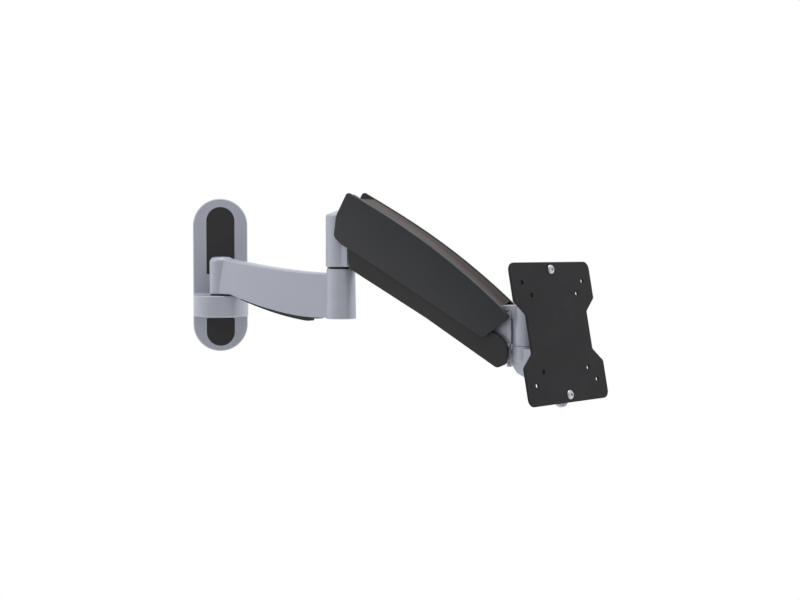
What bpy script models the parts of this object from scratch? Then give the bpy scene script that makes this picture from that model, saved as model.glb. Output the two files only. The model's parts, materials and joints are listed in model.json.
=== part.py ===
"""Full motion display wall mount: a swivelling first arm and a spring-balanced second arm.

Frame: origin at the middle of the wall plate's back face, +Y into the wall, +X to the right
as one faces the wall, +Z up. Every size below is in millimetres and is scaled once, when a
mesh is made. Each moving body has an empty on its joint, and its pieces are drawn in the
empty's own frame, where +X runs out along that body.
"""
import math

import bmesh
import bpy
from mathutils import Matrix, Vector

MM = 0.001
GAP = 0.3                      # clearance between pieces that touch
ROUND = 24                     # sides of a large turned piece
SMALL_ROUND = 16               # sides of a pin, bush or screw
OFFSET = 4.0                   # turns a round cutter, so its edges miss those of turned pieces

# Wall plate
PLATE_WIDTH = 62.6
PLATE_HEIGHT = 177.4
PLATE_DEPTH = 12.0
RECESS_WIDTH = 32.4
RECESS_DEPTH = 3.2
UPPER_RECESS = (1.0, 79.0)     # lower and upper end, as heights
LOWER_RECESS = (-82.5, -50.0)
LAG_HOLES = (58.0, 22.0, -64.0)
COLLAR_TOP = -23.2
COLLAR_BOTTOM = -47.5
COLLAR_CENTRE = 22.0           # distance of the collar's round front from the wall

# First arm
WALL_PIVOT = 34.0              # distance of the swivel axis from the wall
ARM_1_LENGTH = 172.5
ARM_1_YAW = -45.0
ARM_1_SEAT = -21.2             # underside at the wall end
WALL_END_RADIUS = 13.6
WALL_END_TOP = 21.6
ELBOW_SEAT = 8.7               # top of the lower elbow barrel
ELBOW_FOOT = -45.0
ELBOW_RADIUS = 15.5

# Second arm
ARM_2_YAW = 5.5                # measured from the first arm
BASE_SEAT = 11.1
BASE_TOP = 73.0
BASE_RADIUS = 16.3
PIVOT_X = 26.0                 # rear pivots, out from the elbow axis
PIVOT_TOP = 56.0
PIVOT_DROP = 28.0              # the lower pivots lie straight below the upper ones
ARM_2_SLOPE = 29.5             # downward slope
LINK_LENGTH = 190.7
HEAD_REACH = 26.0              # head axis, out from the front pivots
LUG_HALF = 10.2
RAIL_INNER = 10.6
RAIL_OUTER = 13.4
LOWER_SKIN = (14.3, 16.7)
UPPER_SKIN = (17.0, 20.0)
SPRING_PIN = (5.0, -14.0)      # rear spring pin, from the upper rear pivot
SPRING_FRONT = (150.0, -2.0)   # front spring pin, along and across the beam
SPRING_RADIUS = 8.2

# Head
HEAD_RADIUS = 13.0
HEAD_TOP = 12.0                # heights here are from the upper front pivot
HEAD_SEAT = -31.0
SEAM = 2.0                     # the barrel meets the bracket this far above the seat
HEAD_YAW = -12.9               # measured from the second arm
TILT_AXIS = (18.0, -15.5)      # out from and below the head's swivel seat
TILT_UP = 11.1
DISPLAY_OUT = 30.8             # display face, out from the tilt axis
DISPLAY_RISE = 27.8            # display centre, above the tilt axis
VESA_WIDTH = 131.4
VESA_HEIGHT = 139.8
VESA_THICK = 2.5
VESA_PATTERNS = (75.0, 100.0)
SCREW_RISE = 62.3              # the plate's two silver screws, above and below its centre

COLOURS = {                    # colour, metallic, roughness
    "silver_paint": ((0.36, 0.37, 0.41), 0.35, 0.42),
    "black_plastic": ((0.035, 0.035, 0.038), 0.0, 0.55),
    "cover_plastic": ((0.055, 0.056, 0.062), 0.0, 0.48),
    "strip_plastic": ((0.150, 0.128, 0.122), 0.0, 0.50),
    "black_steel": ((0.036, 0.036, 0.038), 0.15, 0.55),
    "zinc_steel": ((0.56, 0.57, 0.60), 1.0, 0.32),
    "nylon": ((0.030, 0.030, 0.032), 0.0, 0.60),
    "spring_paint": ((0.030, 0.030, 0.034), 0.20, 0.35),
}


def clear_scene():
    for item in list(bpy.data.objects):
        bpy.data.objects.remove(item, do_unlink=True)


clear_scene()
PARTS = bpy.data.collections.new("tv_wall_mount")
CUTTERS = bpy.data.collections.new("cutters")
bpy.context.scene.collection.children.link(PARTS)
bpy.context.scene.collection.children.link(CUTTERS)


def make_materials():
    made = {}
    for name, (colour, metallic, roughness) in COLOURS.items():
        material = bpy.data.materials.new(name)
        material.use_nodes = True
        shader = material.node_tree.nodes["Principled BSDF"]
        shader.inputs["Base Color"].default_value = (*colour, 1.0)
        shader.inputs["Metallic"].default_value = metallic
        shader.inputs["Roughness"].default_value = roughness
        material.diffuse_color = (*colour, 1.0)
        made[name] = material
    return made


MATERIALS = make_materials()


# ---------------------------------------------------------------- outlines
def arc(centre, radius, start, end, steps=8):
    """Points on a circle from one angle to another, in degrees."""
    points = []
    for step in range(steps + 1):
        angle = math.radians(start + (end - start) * step / steps)
        points.append((centre[0] + radius * math.cos(angle), centre[1] + radius * math.sin(angle)))
    return points


def rounded(corners, steps=4):
    """A closed outline through (x, y, radius) corners, each corner turned as an arc."""
    points = []
    count = len(corners)
    for index in range(count):
        x, y, radius = corners[index]
        here = Vector((x, y))
        if radius <= 0.0:
            points.append((x, y))
            continue
        before = (Vector(corners[index - 1][:2]) - here).normalized()
        after = (Vector(corners[(index + 1) % count][:2]) - here).normalized()
        half = before.angle(after) / 2.0
        centre = here + (before + after).normalized() * (radius / math.sin(half))
        first = here + before * (radius / math.tan(half)) - centre
        last = here + after * (radius / math.tan(half)) - centre
        start = math.atan2(first.y, first.x)
        sweep = math.atan2(last.y, last.x) - start
        sweep = (sweep + math.pi) % (2.0 * math.pi) - math.pi
        for step in range(steps + 1):
            angle = start + sweep * step / steps
            points.append((centre.x + radius * math.cos(angle), centre.y + radius * math.sin(angle)))
    return points


def capsule(first, second, radius_1, radius_2, steps=8):
    """The outline round two circles, as a strap with round ends."""
    span = Vector(second) - Vector(first)
    lean = math.degrees(math.atan2(span.y, span.x))
    open_angle = math.degrees(math.acos((radius_1 - radius_2) / span.length))
    end = arc(second, radius_2, lean - open_angle, lean + open_angle, steps)
    start = arc(first, radius_1, lean + open_angle, lean + 360.0 - open_angle, steps)
    return end + start


def smooth_step(value):
    value = min(max(value, 0.0), 1.0)
    return value * value * (3.0 - 2.0 * value)


# ---------------------------------------------------------------- solids
def new_object(name, mesh, frame, material, at=(0.0, 0.0, 0.0), turn=(0.0, 0.0, 0.0)):
    """Link a mesh or curve; without a material it is a cutter or an adder."""
    item = bpy.data.objects.new(name, mesh)
    (PARTS if material else CUTTERS).objects.link(item)
    item.parent = frame
    item.location = Vector(at) * MM
    item.rotation_euler = [math.radians(angle) for angle in turn]
    if material:
        mesh.materials.append(MATERIALS[material])
    else:
        item.hide_render = True
        item.display_type = "WIRE"
    return item


def axis_turn(axis):
    return {"X": (0.0, 90.0, 0.0), "Y": (-90.0, 0.0, 0.0), "Z": (0.0, 0.0, 0.0)}[axis]


def shade(mesh):
    mesh.shade_smooth()
    mesh.set_sharp_from_angle(angle=math.radians(38.0))


def cylinder(name, frame, material, radius, low, high, at=(0.0, 0.0), axis="Z", sides=SMALL_ROUND,
             top_radius=None):
    """A cylinder or taper from low to high along an axis; at is its place across that axis."""
    bm = bmesh.new()
    bmesh.ops.create_cone(bm, cap_ends=True, segments=sides, depth=(high - low) * MM,
                          radius1=radius * MM, radius2=(top_radius or radius) * MM)
    if not material:
        bmesh.ops.rotate(bm, verts=bm.verts, matrix=Matrix.Rotation(math.radians(OFFSET), 3, "Z"))
    mesh = bpy.data.meshes.new(name)
    bm.to_mesh(mesh)
    bm.free()
    shade(mesh)
    middle = (low + high) / 2.0
    place = {"Z": (at[0], at[1], middle), "Y": (at[0], middle, at[1]), "X": (middle, at[0], at[1])}
    return new_object(name, mesh, frame, material, place[axis], axis_turn(axis))


def hexagon(name, frame, material, radius, low, high, at=(0.0, 0.0), axis="Z"):
    return cylinder(name, frame, material, radius, low, high, at, axis, sides=6)


def box(name, frame, material, x, y, z):
    """A box between three (low, high) pairs."""
    bm = bmesh.new()
    bmesh.ops.create_cube(bm, size=1.0)
    size = [(pair[1] - pair[0]) * MM for pair in (x, y, z)]
    bmesh.ops.scale(bm, vec=size, verts=bm.verts)
    mesh = bpy.data.meshes.new(name)
    bm.to_mesh(mesh)
    bm.free()
    middle = [(pair[0] + pair[1]) / 2.0 for pair in (x, y, z)]
    return new_object(name, mesh, frame, material, middle)


def turned(name, frame, material, profile, at=(0.0, 0.0, 0.0), axis="Z", sides=SMALL_ROUND, ring=False):
    """A profile of (radius, height) points, down the outer side, turned about its axis."""
    mesh = bpy.data.meshes.new(name)
    points = [(radius * MM, 0.0, height * MM) for radius, height in profile]
    edges = [(index, index + 1) for index in range(len(points) - 1)]
    if ring:
        edges.append((len(points) - 1, 0))
    mesh.from_pydata(points, edges, [])
    item = new_object(name, mesh, frame, material, at, axis_turn(axis))
    screw = item.modifiers.new("turn", "SCREW")
    screw.steps = sides
    screw.render_steps = sides
    screw.use_merge_vertices = True
    screw.merge_threshold = 0.00001
    screw.use_smooth_shade = True
    return item


def bush(name, frame, material, inner, outer, low, high, flange, thick, at=(0.0, 0.0, 0.0)):
    """A flanged bush with an upright axis; its flange is at the top, or at the bottom if thick < 0."""
    if thick > 0.0:
        profile = [(flange, high), (flange, high - thick), (outer, high - thick), (outer, low),
                   (inner, low), (inner, high)]
    else:
        profile = [(outer, high), (outer, low - thick), (flange, low - thick), (flange, low),
                   (inner, low), (inner, high)]
    return turned(name, frame, material, profile, at, ring=True)


def sheet(name, frame, material, outline, low, high, plane="XZ", at=(0.0, 0.0, 0.0), edge=0.0, steps=1):
    """A flat outline with thickness, as a filled curve made into a mesh, with softened edges."""
    curve = bpy.data.curves.new(name, "CURVE")
    curve.dimensions = "2D"
    curve.fill_mode = "BOTH"
    curve.extrude = (high - low) / 2.0 * MM
    spline = curve.splines.new("POLY")
    spline.points.add(len(outline) - 1)
    for point, (x, y) in zip(spline.points, outline):
        point.co = (x * MM, y * MM, 0.0, 1.0)
    spline.use_cyclic_u = True
    guide = bpy.data.objects.new(name + "_outline", curve)
    CUTTERS.objects.link(guide)
    graph = bpy.context.evaluated_depsgraph_get()
    mesh = bpy.data.meshes.new_from_object(guide.evaluated_get(graph))
    mesh.name = name
    bpy.data.objects.remove(guide, do_unlink=True)
    bm = bmesh.new()
    bm.from_mesh(mesh)
    bmesh.ops.remove_doubles(bm, verts=bm.verts, dist=0.000001)
    bm.to_mesh(mesh)
    bm.free()
    mesh.materials.clear()
    shade(mesh)
    middle = (low + high) / 2.0
    turn = {"XZ": (90.0, 0.0, 0.0), "YZ": (90.0, 0.0, 90.0), "XY": (0.0, 0.0, 0.0)}[plane]
    shift = {"XZ": (0.0, middle, 0.0), "YZ": (middle, 0.0, 0.0), "XY": (0.0, 0.0, middle)}[plane]
    item = new_object(name, mesh, frame, material, Vector(at) + Vector(shift), turn)
    if edge > 0.0:
        soften(item, edge, steps)
    return item


def soften(item, width, steps=1):
    bevel = item.modifiers.new("edge", "BEVEL")
    bevel.width = width * MM
    bevel.segments = steps
    bevel.limit_method = "ANGLE"
    bevel.angle_limit = math.radians(50.0)
    return item


def loft(name, frame, material, rings):
    """A closed skin over matching rings of (x, y, z) points."""
    bm = bmesh.new()
    made = [[bm.verts.new(Vector(point) * MM) for point in ring] for ring in rings]
    count = len(rings[0])
    for first, second in zip(made, made[1:]):
        for index in range(count):
            after = (index + 1) % count
            bm.faces.new((first[index], first[after], second[after], second[index]))
    bm.faces.new(made[0])
    bm.faces.new(made[-1])
    bmesh.ops.recalc_face_normals(bm, faces=bm.faces)
    mesh = bpy.data.meshes.new(name)
    bm.to_mesh(mesh)
    bm.free()
    shade(mesh)
    return new_object(name, mesh, frame, material)


def boolean(item, others, operation):
    for other in others:
        step = item.modifiers.new(operation.lower(), "BOOLEAN")
        step.operation = operation
        step.solver = "EXACT"
        step.object = other
    return item


def cut(item, *others):
    return boolean(item, others, "DIFFERENCE")


def fuse(item, *others):
    return boolean(item, others, "UNION")


def joint_frame(name, parent, at, turn=(0.0, 0.0, 0.0)):
    """An empty on a joint's axis, which carries one moving body."""
    item = bpy.data.objects.new("frame_" + name, None)
    bpy.context.scene.collection.objects.link(item)
    item.parent = parent
    item.location = Vector(at) * MM
    item.rotation_euler = [math.radians(angle) for angle in turn]
    return item


# ---------------------------------------------------------------- frames of the moving bodies
ARM_1 = joint_frame("arm_1", None, (0.0, -WALL_PIVOT, 0.0), (0.0, 0.0, ARM_1_YAW))
BASE = joint_frame("arm_2_base", ARM_1, (ARM_1_LENGTH, 0.0, 0.0), (0.0, 0.0, ARM_2_YAW))
BEAM = joint_frame("upper_arm", BASE, (PIVOT_X, 0.0, PIVOT_TOP), (0.0, ARM_2_SLOPE, 0.0))
LINK = joint_frame("lower_arm", BASE, (PIVOT_X, 0.0, PIVOT_TOP - PIVOT_DROP), (0.0, ARM_2_SLOPE, 0.0))
END = joint_frame("end_link", BEAM, (LINK_LENGTH, 0.0, 0.0), (0.0, -ARM_2_SLOPE, 0.0))
SWIVEL = joint_frame("head_swivel", END, (HEAD_REACH, 0.0, HEAD_SEAT), (0.0, 0.0, HEAD_YAW))
TILT = joint_frame("tilt_head", SWIVEL, (TILT_AXIS[0], 0.0, TILT_AXIS[1]), (0.0, -TILT_UP, 0.0))
DISPLAY = joint_frame("display_plate", TILT, (DISPLAY_OUT, 0.0, DISPLAY_RISE))


def spring_slope():
    """Slope of the spring against the beam, and its length, from its two pins."""
    slope = math.radians(ARM_2_SLOPE)
    rear_x = SPRING_PIN[0] * math.cos(slope) - SPRING_PIN[1] * math.sin(slope)
    rear_z = SPRING_PIN[0] * math.sin(slope) + SPRING_PIN[1] * math.cos(slope)
    run = SPRING_FRONT[0] - rear_x
    rise = SPRING_FRONT[1] - rear_z
    return math.degrees(math.atan2(rise, run)), math.hypot(run, rise)


SPRING_LEAN, SPRING_LENGTH = spring_slope()
SPRING = joint_frame("spring", BEAM, (SPRING_FRONT[0], 0.0, SPRING_FRONT[1]), (0.0, -SPRING_LEAN, 0.0))


# ---------------------------------------------------------------- wall plate
def stadium(width, low, high, round_low=True, round_high=True, steps=12):
    """An upright slot outline with round or square ends."""
    half = width / 2.0
    points = []
    points += arc((0.0, high - half), half, 0.0, 180.0, steps) if round_high else [(half, high), (-half, high)]
    points += arc((0.0, low + half), half, 180.0, 360.0, steps) if round_low else [(-half, low), (half, low)]
    return points


def make_wall_plate():
    half = PLATE_HEIGHT / 2.0
    plate = sheet("wall_plate", None, "silver_paint", stadium(PLATE_WIDTH, -half, half, steps=16),
                  -PLATE_DEPTH, 0.0, edge=1.6)
    side = PLATE_WIDTH / 2.0
    plan = [(side, -4.0), (-side, -4.0)] + arc((0.0, -COLLAR_CENTRE), side, 180.0, 360.0, 24)
    collar = sheet("collar_adder", None, None, plan, COLLAR_BOTTOM, COLLAR_TOP, "XY", edge=1.5)
    slope = [(-11.0, COLLAR_TOP + 2.3), (-12.0, COLLAR_TOP + 2.3), (-15.5, COLLAR_TOP + 0.2),
             (-15.5, COLLAR_TOP - 0.8), (-11.0, COLLAR_TOP - 0.8)]
    fuse(plate, collar, sheet("collar_fillet", None, None, slope, -30.2, 30.2, "YZ"))
    face = -PLATE_DEPTH
    upper = stadium(RECESS_WIDTH, *UPPER_RECESS, round_low=False)
    lower = stadium(RECESS_WIDTH, *LOWER_RECESS, round_high=False)
    for name, outline in (("upper", upper), ("lower", lower)):
        cut(plate, sheet(name + "_recess", None, None, outline, face - 2.0, face + RECESS_DEPTH))
    for height in LAG_HOLES:
        cut(plate, cylinder("lag_hole", None, None, 3.4, face - 1.0, 2.0, (0.0, height), "Y"))
        cut(plate, cylinder("lag_sink", None, None, 6.5, face - 1.0, -5.5, (0.0, height), "Y"))
    at = (0.0, -WALL_PIVOT)
    cut(plate, cylinder("pivot_bore", None, None, 7.0, COLLAR_BOTTOM - 2.0, COLLAR_TOP + 2.0, at))
    cut(plate, cylinder("pivot_well", None, None, 11.5, COLLAR_BOTTOM - 2.0, -39.5, at, sides=ROUND))
    return plate


def make_wall_fittings():
    """Two snap-in covers over the lag screws, the pivot's bushes, washer and bolt."""
    front = -PLATE_DEPTH + 0.3
    back = -PLATE_DEPTH + RECESS_DEPTH - GAP
    inset = 2.0 * GAP
    low, high = UPPER_RECESS
    upper = stadium(RECESS_WIDTH - inset, low + GAP, high - GAP, round_low=False)
    sheet("upper_screw_cover", None, "black_plastic", upper, front, back, edge=0.4)
    low, high = LOWER_RECESS
    lower = stadium(RECESS_WIDTH - inset, low + GAP, high - GAP, round_high=False)
    sheet("lower_screw_cover", None, "black_plastic", lower, front, back, edge=0.4)
    at = (0.0, -WALL_PIVOT, 0.0)
    bush("wall_bush_upper", None, "nylon", 5.3, 6.7, -31.0, -21.5, 12.6, 1.4, at)
    bush("wall_bush_lower", None, "nylon", 5.3, 6.7, -41.8, -32.0, 9.0, -2.0, at)
    turned("wall_friction_washer", ARM_1, "zinc_steel",
           [(8.6, -42.1), (8.6, -43.2), (5.3, -43.2), (5.3, -42.1)], ring=True)
    bolt = turned("wall_pivot_bolt", ARM_1, "zinc_steel",
                  [(0.0, -6.0), (4.6, -6.0), (5.0, -6.6), (5.0, -43.5), (8.0, -43.5), (8.4, -43.9),
                   (8.4, -46.8), (8.0, -47.2), (0.0, -47.2)])
    cut(bolt, hexagon("bolt_socket", ARM_1, None, 3.4, -48.5, -44.6))


# ---------------------------------------------------------------- first arm
def arm_1_top(x):
    return 4.0 + 17.0 * (1.0 - min(x / 165.0, 1.0)) ** 1.65


def arm_1_foot(x):
    run = min(max((x - 23.0) / 116.0, 0.0), 1.0)
    return ARM_1_SEAT - 22.9 * (1.0 - (1.0 - run) ** 1.6)


def arm_1_ring(x):
    """The web's section: narrow along the top, wide along the underside near the wall."""
    top_half = 8.4
    foot_half = 12.6 - 3.6 * smooth_step(x / ARM_1_LENGTH)
    outline = rounded([(-foot_half, arm_1_foot(x), 1.2), (foot_half, arm_1_foot(x), 1.2),
                       (top_half, arm_1_top(x), 2.2), (-top_half, arm_1_top(x), 2.2)], 3)
    return [(x, across, height) for across, height in outline]


def make_arm_1():
    stations = [2.0, 12.0, 19.0, 24.0, 30.0, 38.0, 50.0, 64.0, 80.0, 96.0, 112.0, 128.0, 142.0, 158.0,
                ARM_1_LENGTH - 4.0]
    arm = loft("arm_1", ARM_1, "silver_paint", [arm_1_ring(x) for x in stations])
    wall_end = turned("wall_end_adder", ARM_1, None,
                      [(0.0, WALL_END_TOP)] + [
                          (7.6 + 6.0 * math.sin(math.radians(step)),
                           WALL_END_TOP - 0.5 - 6.0 * (1.0 - math.cos(math.radians(step))))
                          for step in (0.0, 22.5, 45.0, 67.5, 90.0)] + [
                          (WALL_END_RADIUS, ARM_1_SEAT + 0.8), (WALL_END_RADIUS - 0.8, ARM_1_SEAT),
                          (0.0, ARM_1_SEAT)], sides=ROUND)
    elbow = turned("elbow_adder", ARM_1, None,
                   [(0.0, ELBOW_SEAT), (ELBOW_RADIUS - 0.7, ELBOW_SEAT), (ELBOW_RADIUS, ELBOW_SEAT - 0.7),
                    (ELBOW_RADIUS + 0.9, ELBOW_FOOT + 1.0), (ELBOW_RADIUS, ELBOW_FOOT),
                    (0.0, ELBOW_FOOT)], (ARM_1_LENGTH, 0.0, 0.0), sides=ROUND)
    fuse(arm, wall_end, elbow)
    cut(arm, cylinder("blind_bore", ARM_1, None, 5.4, ARM_1_SEAT - 3.0, -5.0))
    at = (ARM_1_LENGTH, 0.0)
    cut(arm, cylinder("elbow_bore", ARM_1, None, 8.3, ELBOW_FOOT - 3.0, ELBOW_SEAT + 3.0, at))
    cut(arm, cylinder("elbow_well", ARM_1, None, 12.0, ELBOW_FOOT - 3.0, -30.0, at, sides=ROUND))
    cut(arm, loft("cable_groove", ARM_1, None, [cable_ring(x, 6.6, 2.4, -8.0) for x in CABLE_STATIONS]))
    cut(arm, box("clip_recess", ARM_1, None, (132.6, 145.4), (-5.6, 5.6), (-60.0, -42.2)))
    return arm


CABLE_STATIONS = [34.0, 44.0, 56.0, 70.0, 86.0, 102.0, 118.0, 131.0]


def cable_ring(x, half, rise, fall):
    """A section that follows the arm's underside, from rise above it to fall below it."""
    foot = arm_1_foot(x)
    return [(x, -half, foot + fall), (x, half, foot + fall), (x, half, foot + rise), (x, -half, foot + rise)]


def make_arm_1_fittings():
    rings = []
    first, last = CABLE_STATIONS[0] + GAP, CABLE_STATIONS[-1] - GAP
    for x in [first] + CABLE_STATIONS[1:-1] + [last]:
        drop = -2.6 - 2.0 * (x - first) / (last - first)
        rings.append(cable_ring(x, 6.3, 2.0, drop))
    soften(loft("cable_cover", ARM_1, "black_plastic", rings), 0.4)
    clip = box("cable_clip", ARM_1, "black_plastic", (133.0, 145.0), (-5.2, 5.2), (-45.6, -42.6))
    soften(clip, 0.5)
    at = (ARM_1_LENGTH, 0.0, 0.0)
    bush("elbow_bush_upper", ARM_1, "nylon", 6.3, 8.0, -6.0, 10.8, 14.6, 1.8, at)
    bush("elbow_bush_lower", ARM_1, "nylon", 6.3, 8.0, -32.2, -18.0, 11.0, -1.9, at)
    cap = turned("elbow_cap", ARM_1, "silver_paint",
                 [(0.0, -42.4), (11.7, -42.4), (11.7, -44.4), (11.2, -44.9), (0.0, -44.9)], at, sides=ROUND)
    return cap


# ---------------------------------------------------------------- base of the second arm
def make_base():
    dome = [(0.0, BASE_TOP), (14.3, 67.7), (15.5, 67.0), (16.1, 65.9), (BASE_RADIUS, 64.6)]
    base = turned("arm_2_base", BASE, "silver_paint",
                  dome + [(BASE_RADIUS, BASE_SEAT + 0.7), (BASE_RADIUS - 0.7, BASE_SEAT), (0.0, BASE_SEAT)], sides=ROUND)
    lug = capsule((PIVOT_X, PIVOT_TOP - PIVOT_DROP), (PIVOT_X, PIVOT_TOP), 7.5, 7.49)
    fuse(base, sheet("lug_adder", BASE, None, lug, -LUG_HALF, LUG_HALF))
    fuse(base, box("lug_root", BASE, None, (6.0, PIVOT_X + 1.0), (-LUG_HALF + 0.4, LUG_HALF - 0.4),
                   (PIVOT_TOP - PIVOT_DROP - 7.0, PIVOT_TOP + 7.0)))
    neck = box("base_neck", BASE, None, (2.0, 16.5), (-13.6, 13.6), (BASE_SEAT + 0.3, 62.0))
    fuse(base, soften(neck, 1.0))
    cut(base, cylinder("shaft_bore", BASE, None, 6.2, BASE_SEAT - 3.0, 46.0))
    slot = PIVOT_TOP + SPRING_PIN[1]
    cut(base, box("spring_slot", BASE, None, (PIVOT_X - 5.0, PIVOT_X + 20.0), (-5.2, 5.2),
                  (slot - 8.2, slot + 8.2)))
    for height in (PIVOT_TOP, PIVOT_TOP - PIVOT_DROP):
        cut(base, cylinder("lug_bore", BASE, None, 5.0, -14.0, 14.0, (PIVOT_X, height), "Y"))
    cut(base, cylinder("spring_bore", BASE, None, 2.3, -14.0, 14.0, (PIVOT_X + SPRING_PIN[0], slot), "Y"))
    return base


def pivot_bush(name, frame, at):
    """A plain sleeve bush across the arm, in a lug's bore."""
    turned(name, frame, "nylon", [(4.7, LUG_HALF), (4.7, -LUG_HALF), (3.6, -LUG_HALF), (3.6, LUG_HALF)],
           (at[0], 0.0, at[1]), "Y", ring=True)


def cross_pin(name, frame, radius, half, at):
    """A pin across the arm with chamfered ends."""
    turned(name, frame, "zinc_steel", [(0.0, half), (radius - 0.5, half), (radius, half - 0.5),
                                       (radius, 0.5 - half), (radius - 0.5, -half), (0.0, -half)],
           (at[0], 0.0, at[1]), "Y")


def make_base_fittings():
    turned("elbow_shaft", BASE, "zinc_steel",
           [(0.0, 45.5), (5.4, 45.5), (5.9, 45.0), (5.9, -34.0), (4.9, -34.5), (4.9, -41.4), (4.4, -41.9),
            (0.0, -41.9)])
    turned("elbow_washer", BASE, "zinc_steel", [(10.0, -32.5), (10.0, -34.0), (6.2, -34.0), (6.2, -32.5)],
           ring=True)
    nut = hexagon("elbow_nut", BASE, "zinc_steel", 9.4, -40.6, -34.8)
    cut(nut, cylinder("nut_bore", BASE, None, 5.2, -44.0, -30.0))
    pivot_bush("rear_upper_bush", BASE, (PIVOT_X, PIVOT_TOP))
    pivot_bush("rear_lower_bush", BASE, (PIVOT_X, PIVOT_TOP - PIVOT_DROP))
    cross_pin("spring_anchor_pin", BASE, 2.0, 9.8, (PIVOT_X + SPRING_PIN[0], PIVOT_TOP + SPRING_PIN[1]))


# ---------------------------------------------------------------- upper arm
def cover_top(x):
    """Height of the upper covers' top edge: a long crown that falls away towards the head."""
    return 28.1 - (0.00065 if x > 36.0 else 0.00025) * (x - 36.0) ** 2


def upper_cover_outline(rear_x):
    """Side view of an upper cover, from the top rear corner along the top edge and back."""
    top = [(x, cover_top(x)) for x in (20.0, 44.0, 70.0, 96.0, 120.0, 140.0, 158.0, 174.0, 188.0)]
    tip = rounded([(188.0, cover_top(188.0), 0.0), (206.5, cover_top(204.0) - 0.6, 3.2),
                   (190.6, -24.6, 7.0), (120.0, -24.2, 0.0)], 5)
    rear = rounded([(20.0, -24.2, 0.0), (-1.0, -25.2, 8.0), (-14.0, -22.4, 7.0), (rear_x, -1.0, 20.0),
                    (rear_x, 27.3, 4.0), (0.0, cover_top(0.0), 0.0)], 4)
    return rear + top + tip[1:]


def make_upper_beam():
    """An inverted channel of steel between the front and rear upper pivots."""
    front = LINK_LENGTH + 7.0
    outline = rounded([(-8.0, -8.0, 7.9), (front, -7.0, 6.9), (front, 5.0, 4.9), (front - 10.0, 6.4, 3.0),
                       (130.0, 16.0, 3.0), (10.0, 16.0, 3.0), (-8.0, 8.0, 7.9)], 4)
    beam = sheet("upper_beam", BEAM, "black_steel", outline, -RAIL_OUTER, RAIL_OUTER, edge=0.8)
    inside = (-RAIL_INNER, RAIL_INNER)
    cut(beam, box("beam_inside", BEAM, None, (-20.0, LINK_LENGTH + 20.0), inside, (-20.0, 13.2)))
    for low, high in ((-20.0, 8.0), (LINK_LENGTH - 12.0, LINK_LENGTH + 20.0)):
        cut(beam, box("beam_end", BEAM, None, (low, high), inside, (5.0, 30.0)))
    for x in (0.0, LINK_LENGTH):
        cut(beam, cylinder("beam_bore", BEAM, None, 3.6, -20.0, 20.0, (x, 0.0), "Y"))
    cut(beam, cylinder("spring_bore_front", BEAM, None, 2.8, -20.0, 20.0, SPRING_FRONT, "Y"))
    return beam


def make_upper_covers():
    inner, outer = UPPER_SKIN
    for name, side, rear_x in (("far", 1.0, -25.4), ("near", -1.0, -22.3)):
        outline = upper_cover_outline(rear_x)
        faces = sorted((side * inner, side * outer))
        panel = sheet("upper_cover_" + name, BEAM, "cover_plastic", outline, *faces, edge=0.9)
        reach = sorted((side * (RAIL_OUTER + GAP), side * (inner + 1.0)))
        for x, z in ((22.0, 6.0), (92.0, 6.0), (160.0, 3.0)):
            fuse(panel, cylinder("cover_boss", BEAM, None, 4.0, *reach, (x, z), "Y", sides=16))
        if name == "near":
            fuse(panel, loft("cover_lip", BEAM, None, [
                strip_ring(x, -17.5, -12.6, 0.15, 1.0)
                for x in [-16.0] + STRIP_STATIONS[:-1] + [186.0, 198.0]]))
    rings = []
    for x in STRIP_STATIONS:
        height = cover_top(x) - 1.2 - 0.021 * x
        rings.append([(x, -12.3, height - 1.6), (x, 16.6, height - 1.6), (x, 16.6, cover_top(x) - 0.8),
                      (x, 15.4, cover_top(x) - 0.8), (x, 10.6, height), (x, -12.3, height)])
    return loft("top_strip", BEAM, "strip_plastic", rings)


STRIP_STATIONS = [-8.0, 20.0, 44.0, 70.0, 96.0, 120.0, 140.0, 158.0, 172.0, 184.0]


def strip_ring(x, near, far, sunk, thick):
    """A flat section that follows the covers' top edge, a little below it."""
    height = cover_top(x) - sunk
    return [(x, near, height - thick), (x, far, height - thick), (x, far, height), (x, near, height)]


def make_spring():
    """A gas spring: its tube is pinned to the beam near the head, its rod to the base."""
    rear = -SPRING_LENGTH
    tube = turned("spring_tube", SPRING, "spring_paint",
                  [(0.0, -12.0), (7.0, -12.0), (SPRING_RADIUS, -13.5), (SPRING_RADIUS, -78.0), (7.2, -80.0),
                   (4.6, -80.0), (4.6, -16.0), (0.0, -16.0)], axis="X")
    eye = sheet("spring_tube_eye", SPRING, "zinc_steel", capsule((-5.6, 0.0), (0.0, 0.0), 5.0, 4.99),
                -4.5, 4.5)
    fuse(eye, cylinder("eye_stem", SPRING, None, 3.0, -11.7, -6.0, axis="X"))
    cut(eye, cylinder("eye_bore", SPRING, None, 2.8, -9.0, 9.0, axis="Y"))
    turned("spring_rod", SPRING, "zinc_steel",
           [(0.0, -30.0), (3.9, -30.0), (3.9, -36.0), (3.0, -36.0), (3.0, rear + 10.3), (0.0, rear + 10.3)],
           axis="X")
    rod_eye = sheet("spring_rod_eye", SPRING, "zinc_steel", capsule((rear, 0.0), (rear + 6.4, 0.0), 4.8, 3.9),
                    -4.6, 4.6)
    cut(rod_eye, cylinder("rod_eye_bore", SPRING, None, 3.3, -9.0, 9.0, (rear, 0.0), "Y"))
    return tube


def make_upper_arm_pins():
    cross_pin("rear_upper_pin", BEAM, 3.3, 16.4, (0.0, 0.0))
    cross_pin("front_upper_pin", BEAM, 3.3, 13.8, (LINK_LENGTH, 0.0))
    cross_pin("spring_front_pin", BEAM, 2.5, 13.2, SPRING_FRONT)


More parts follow.
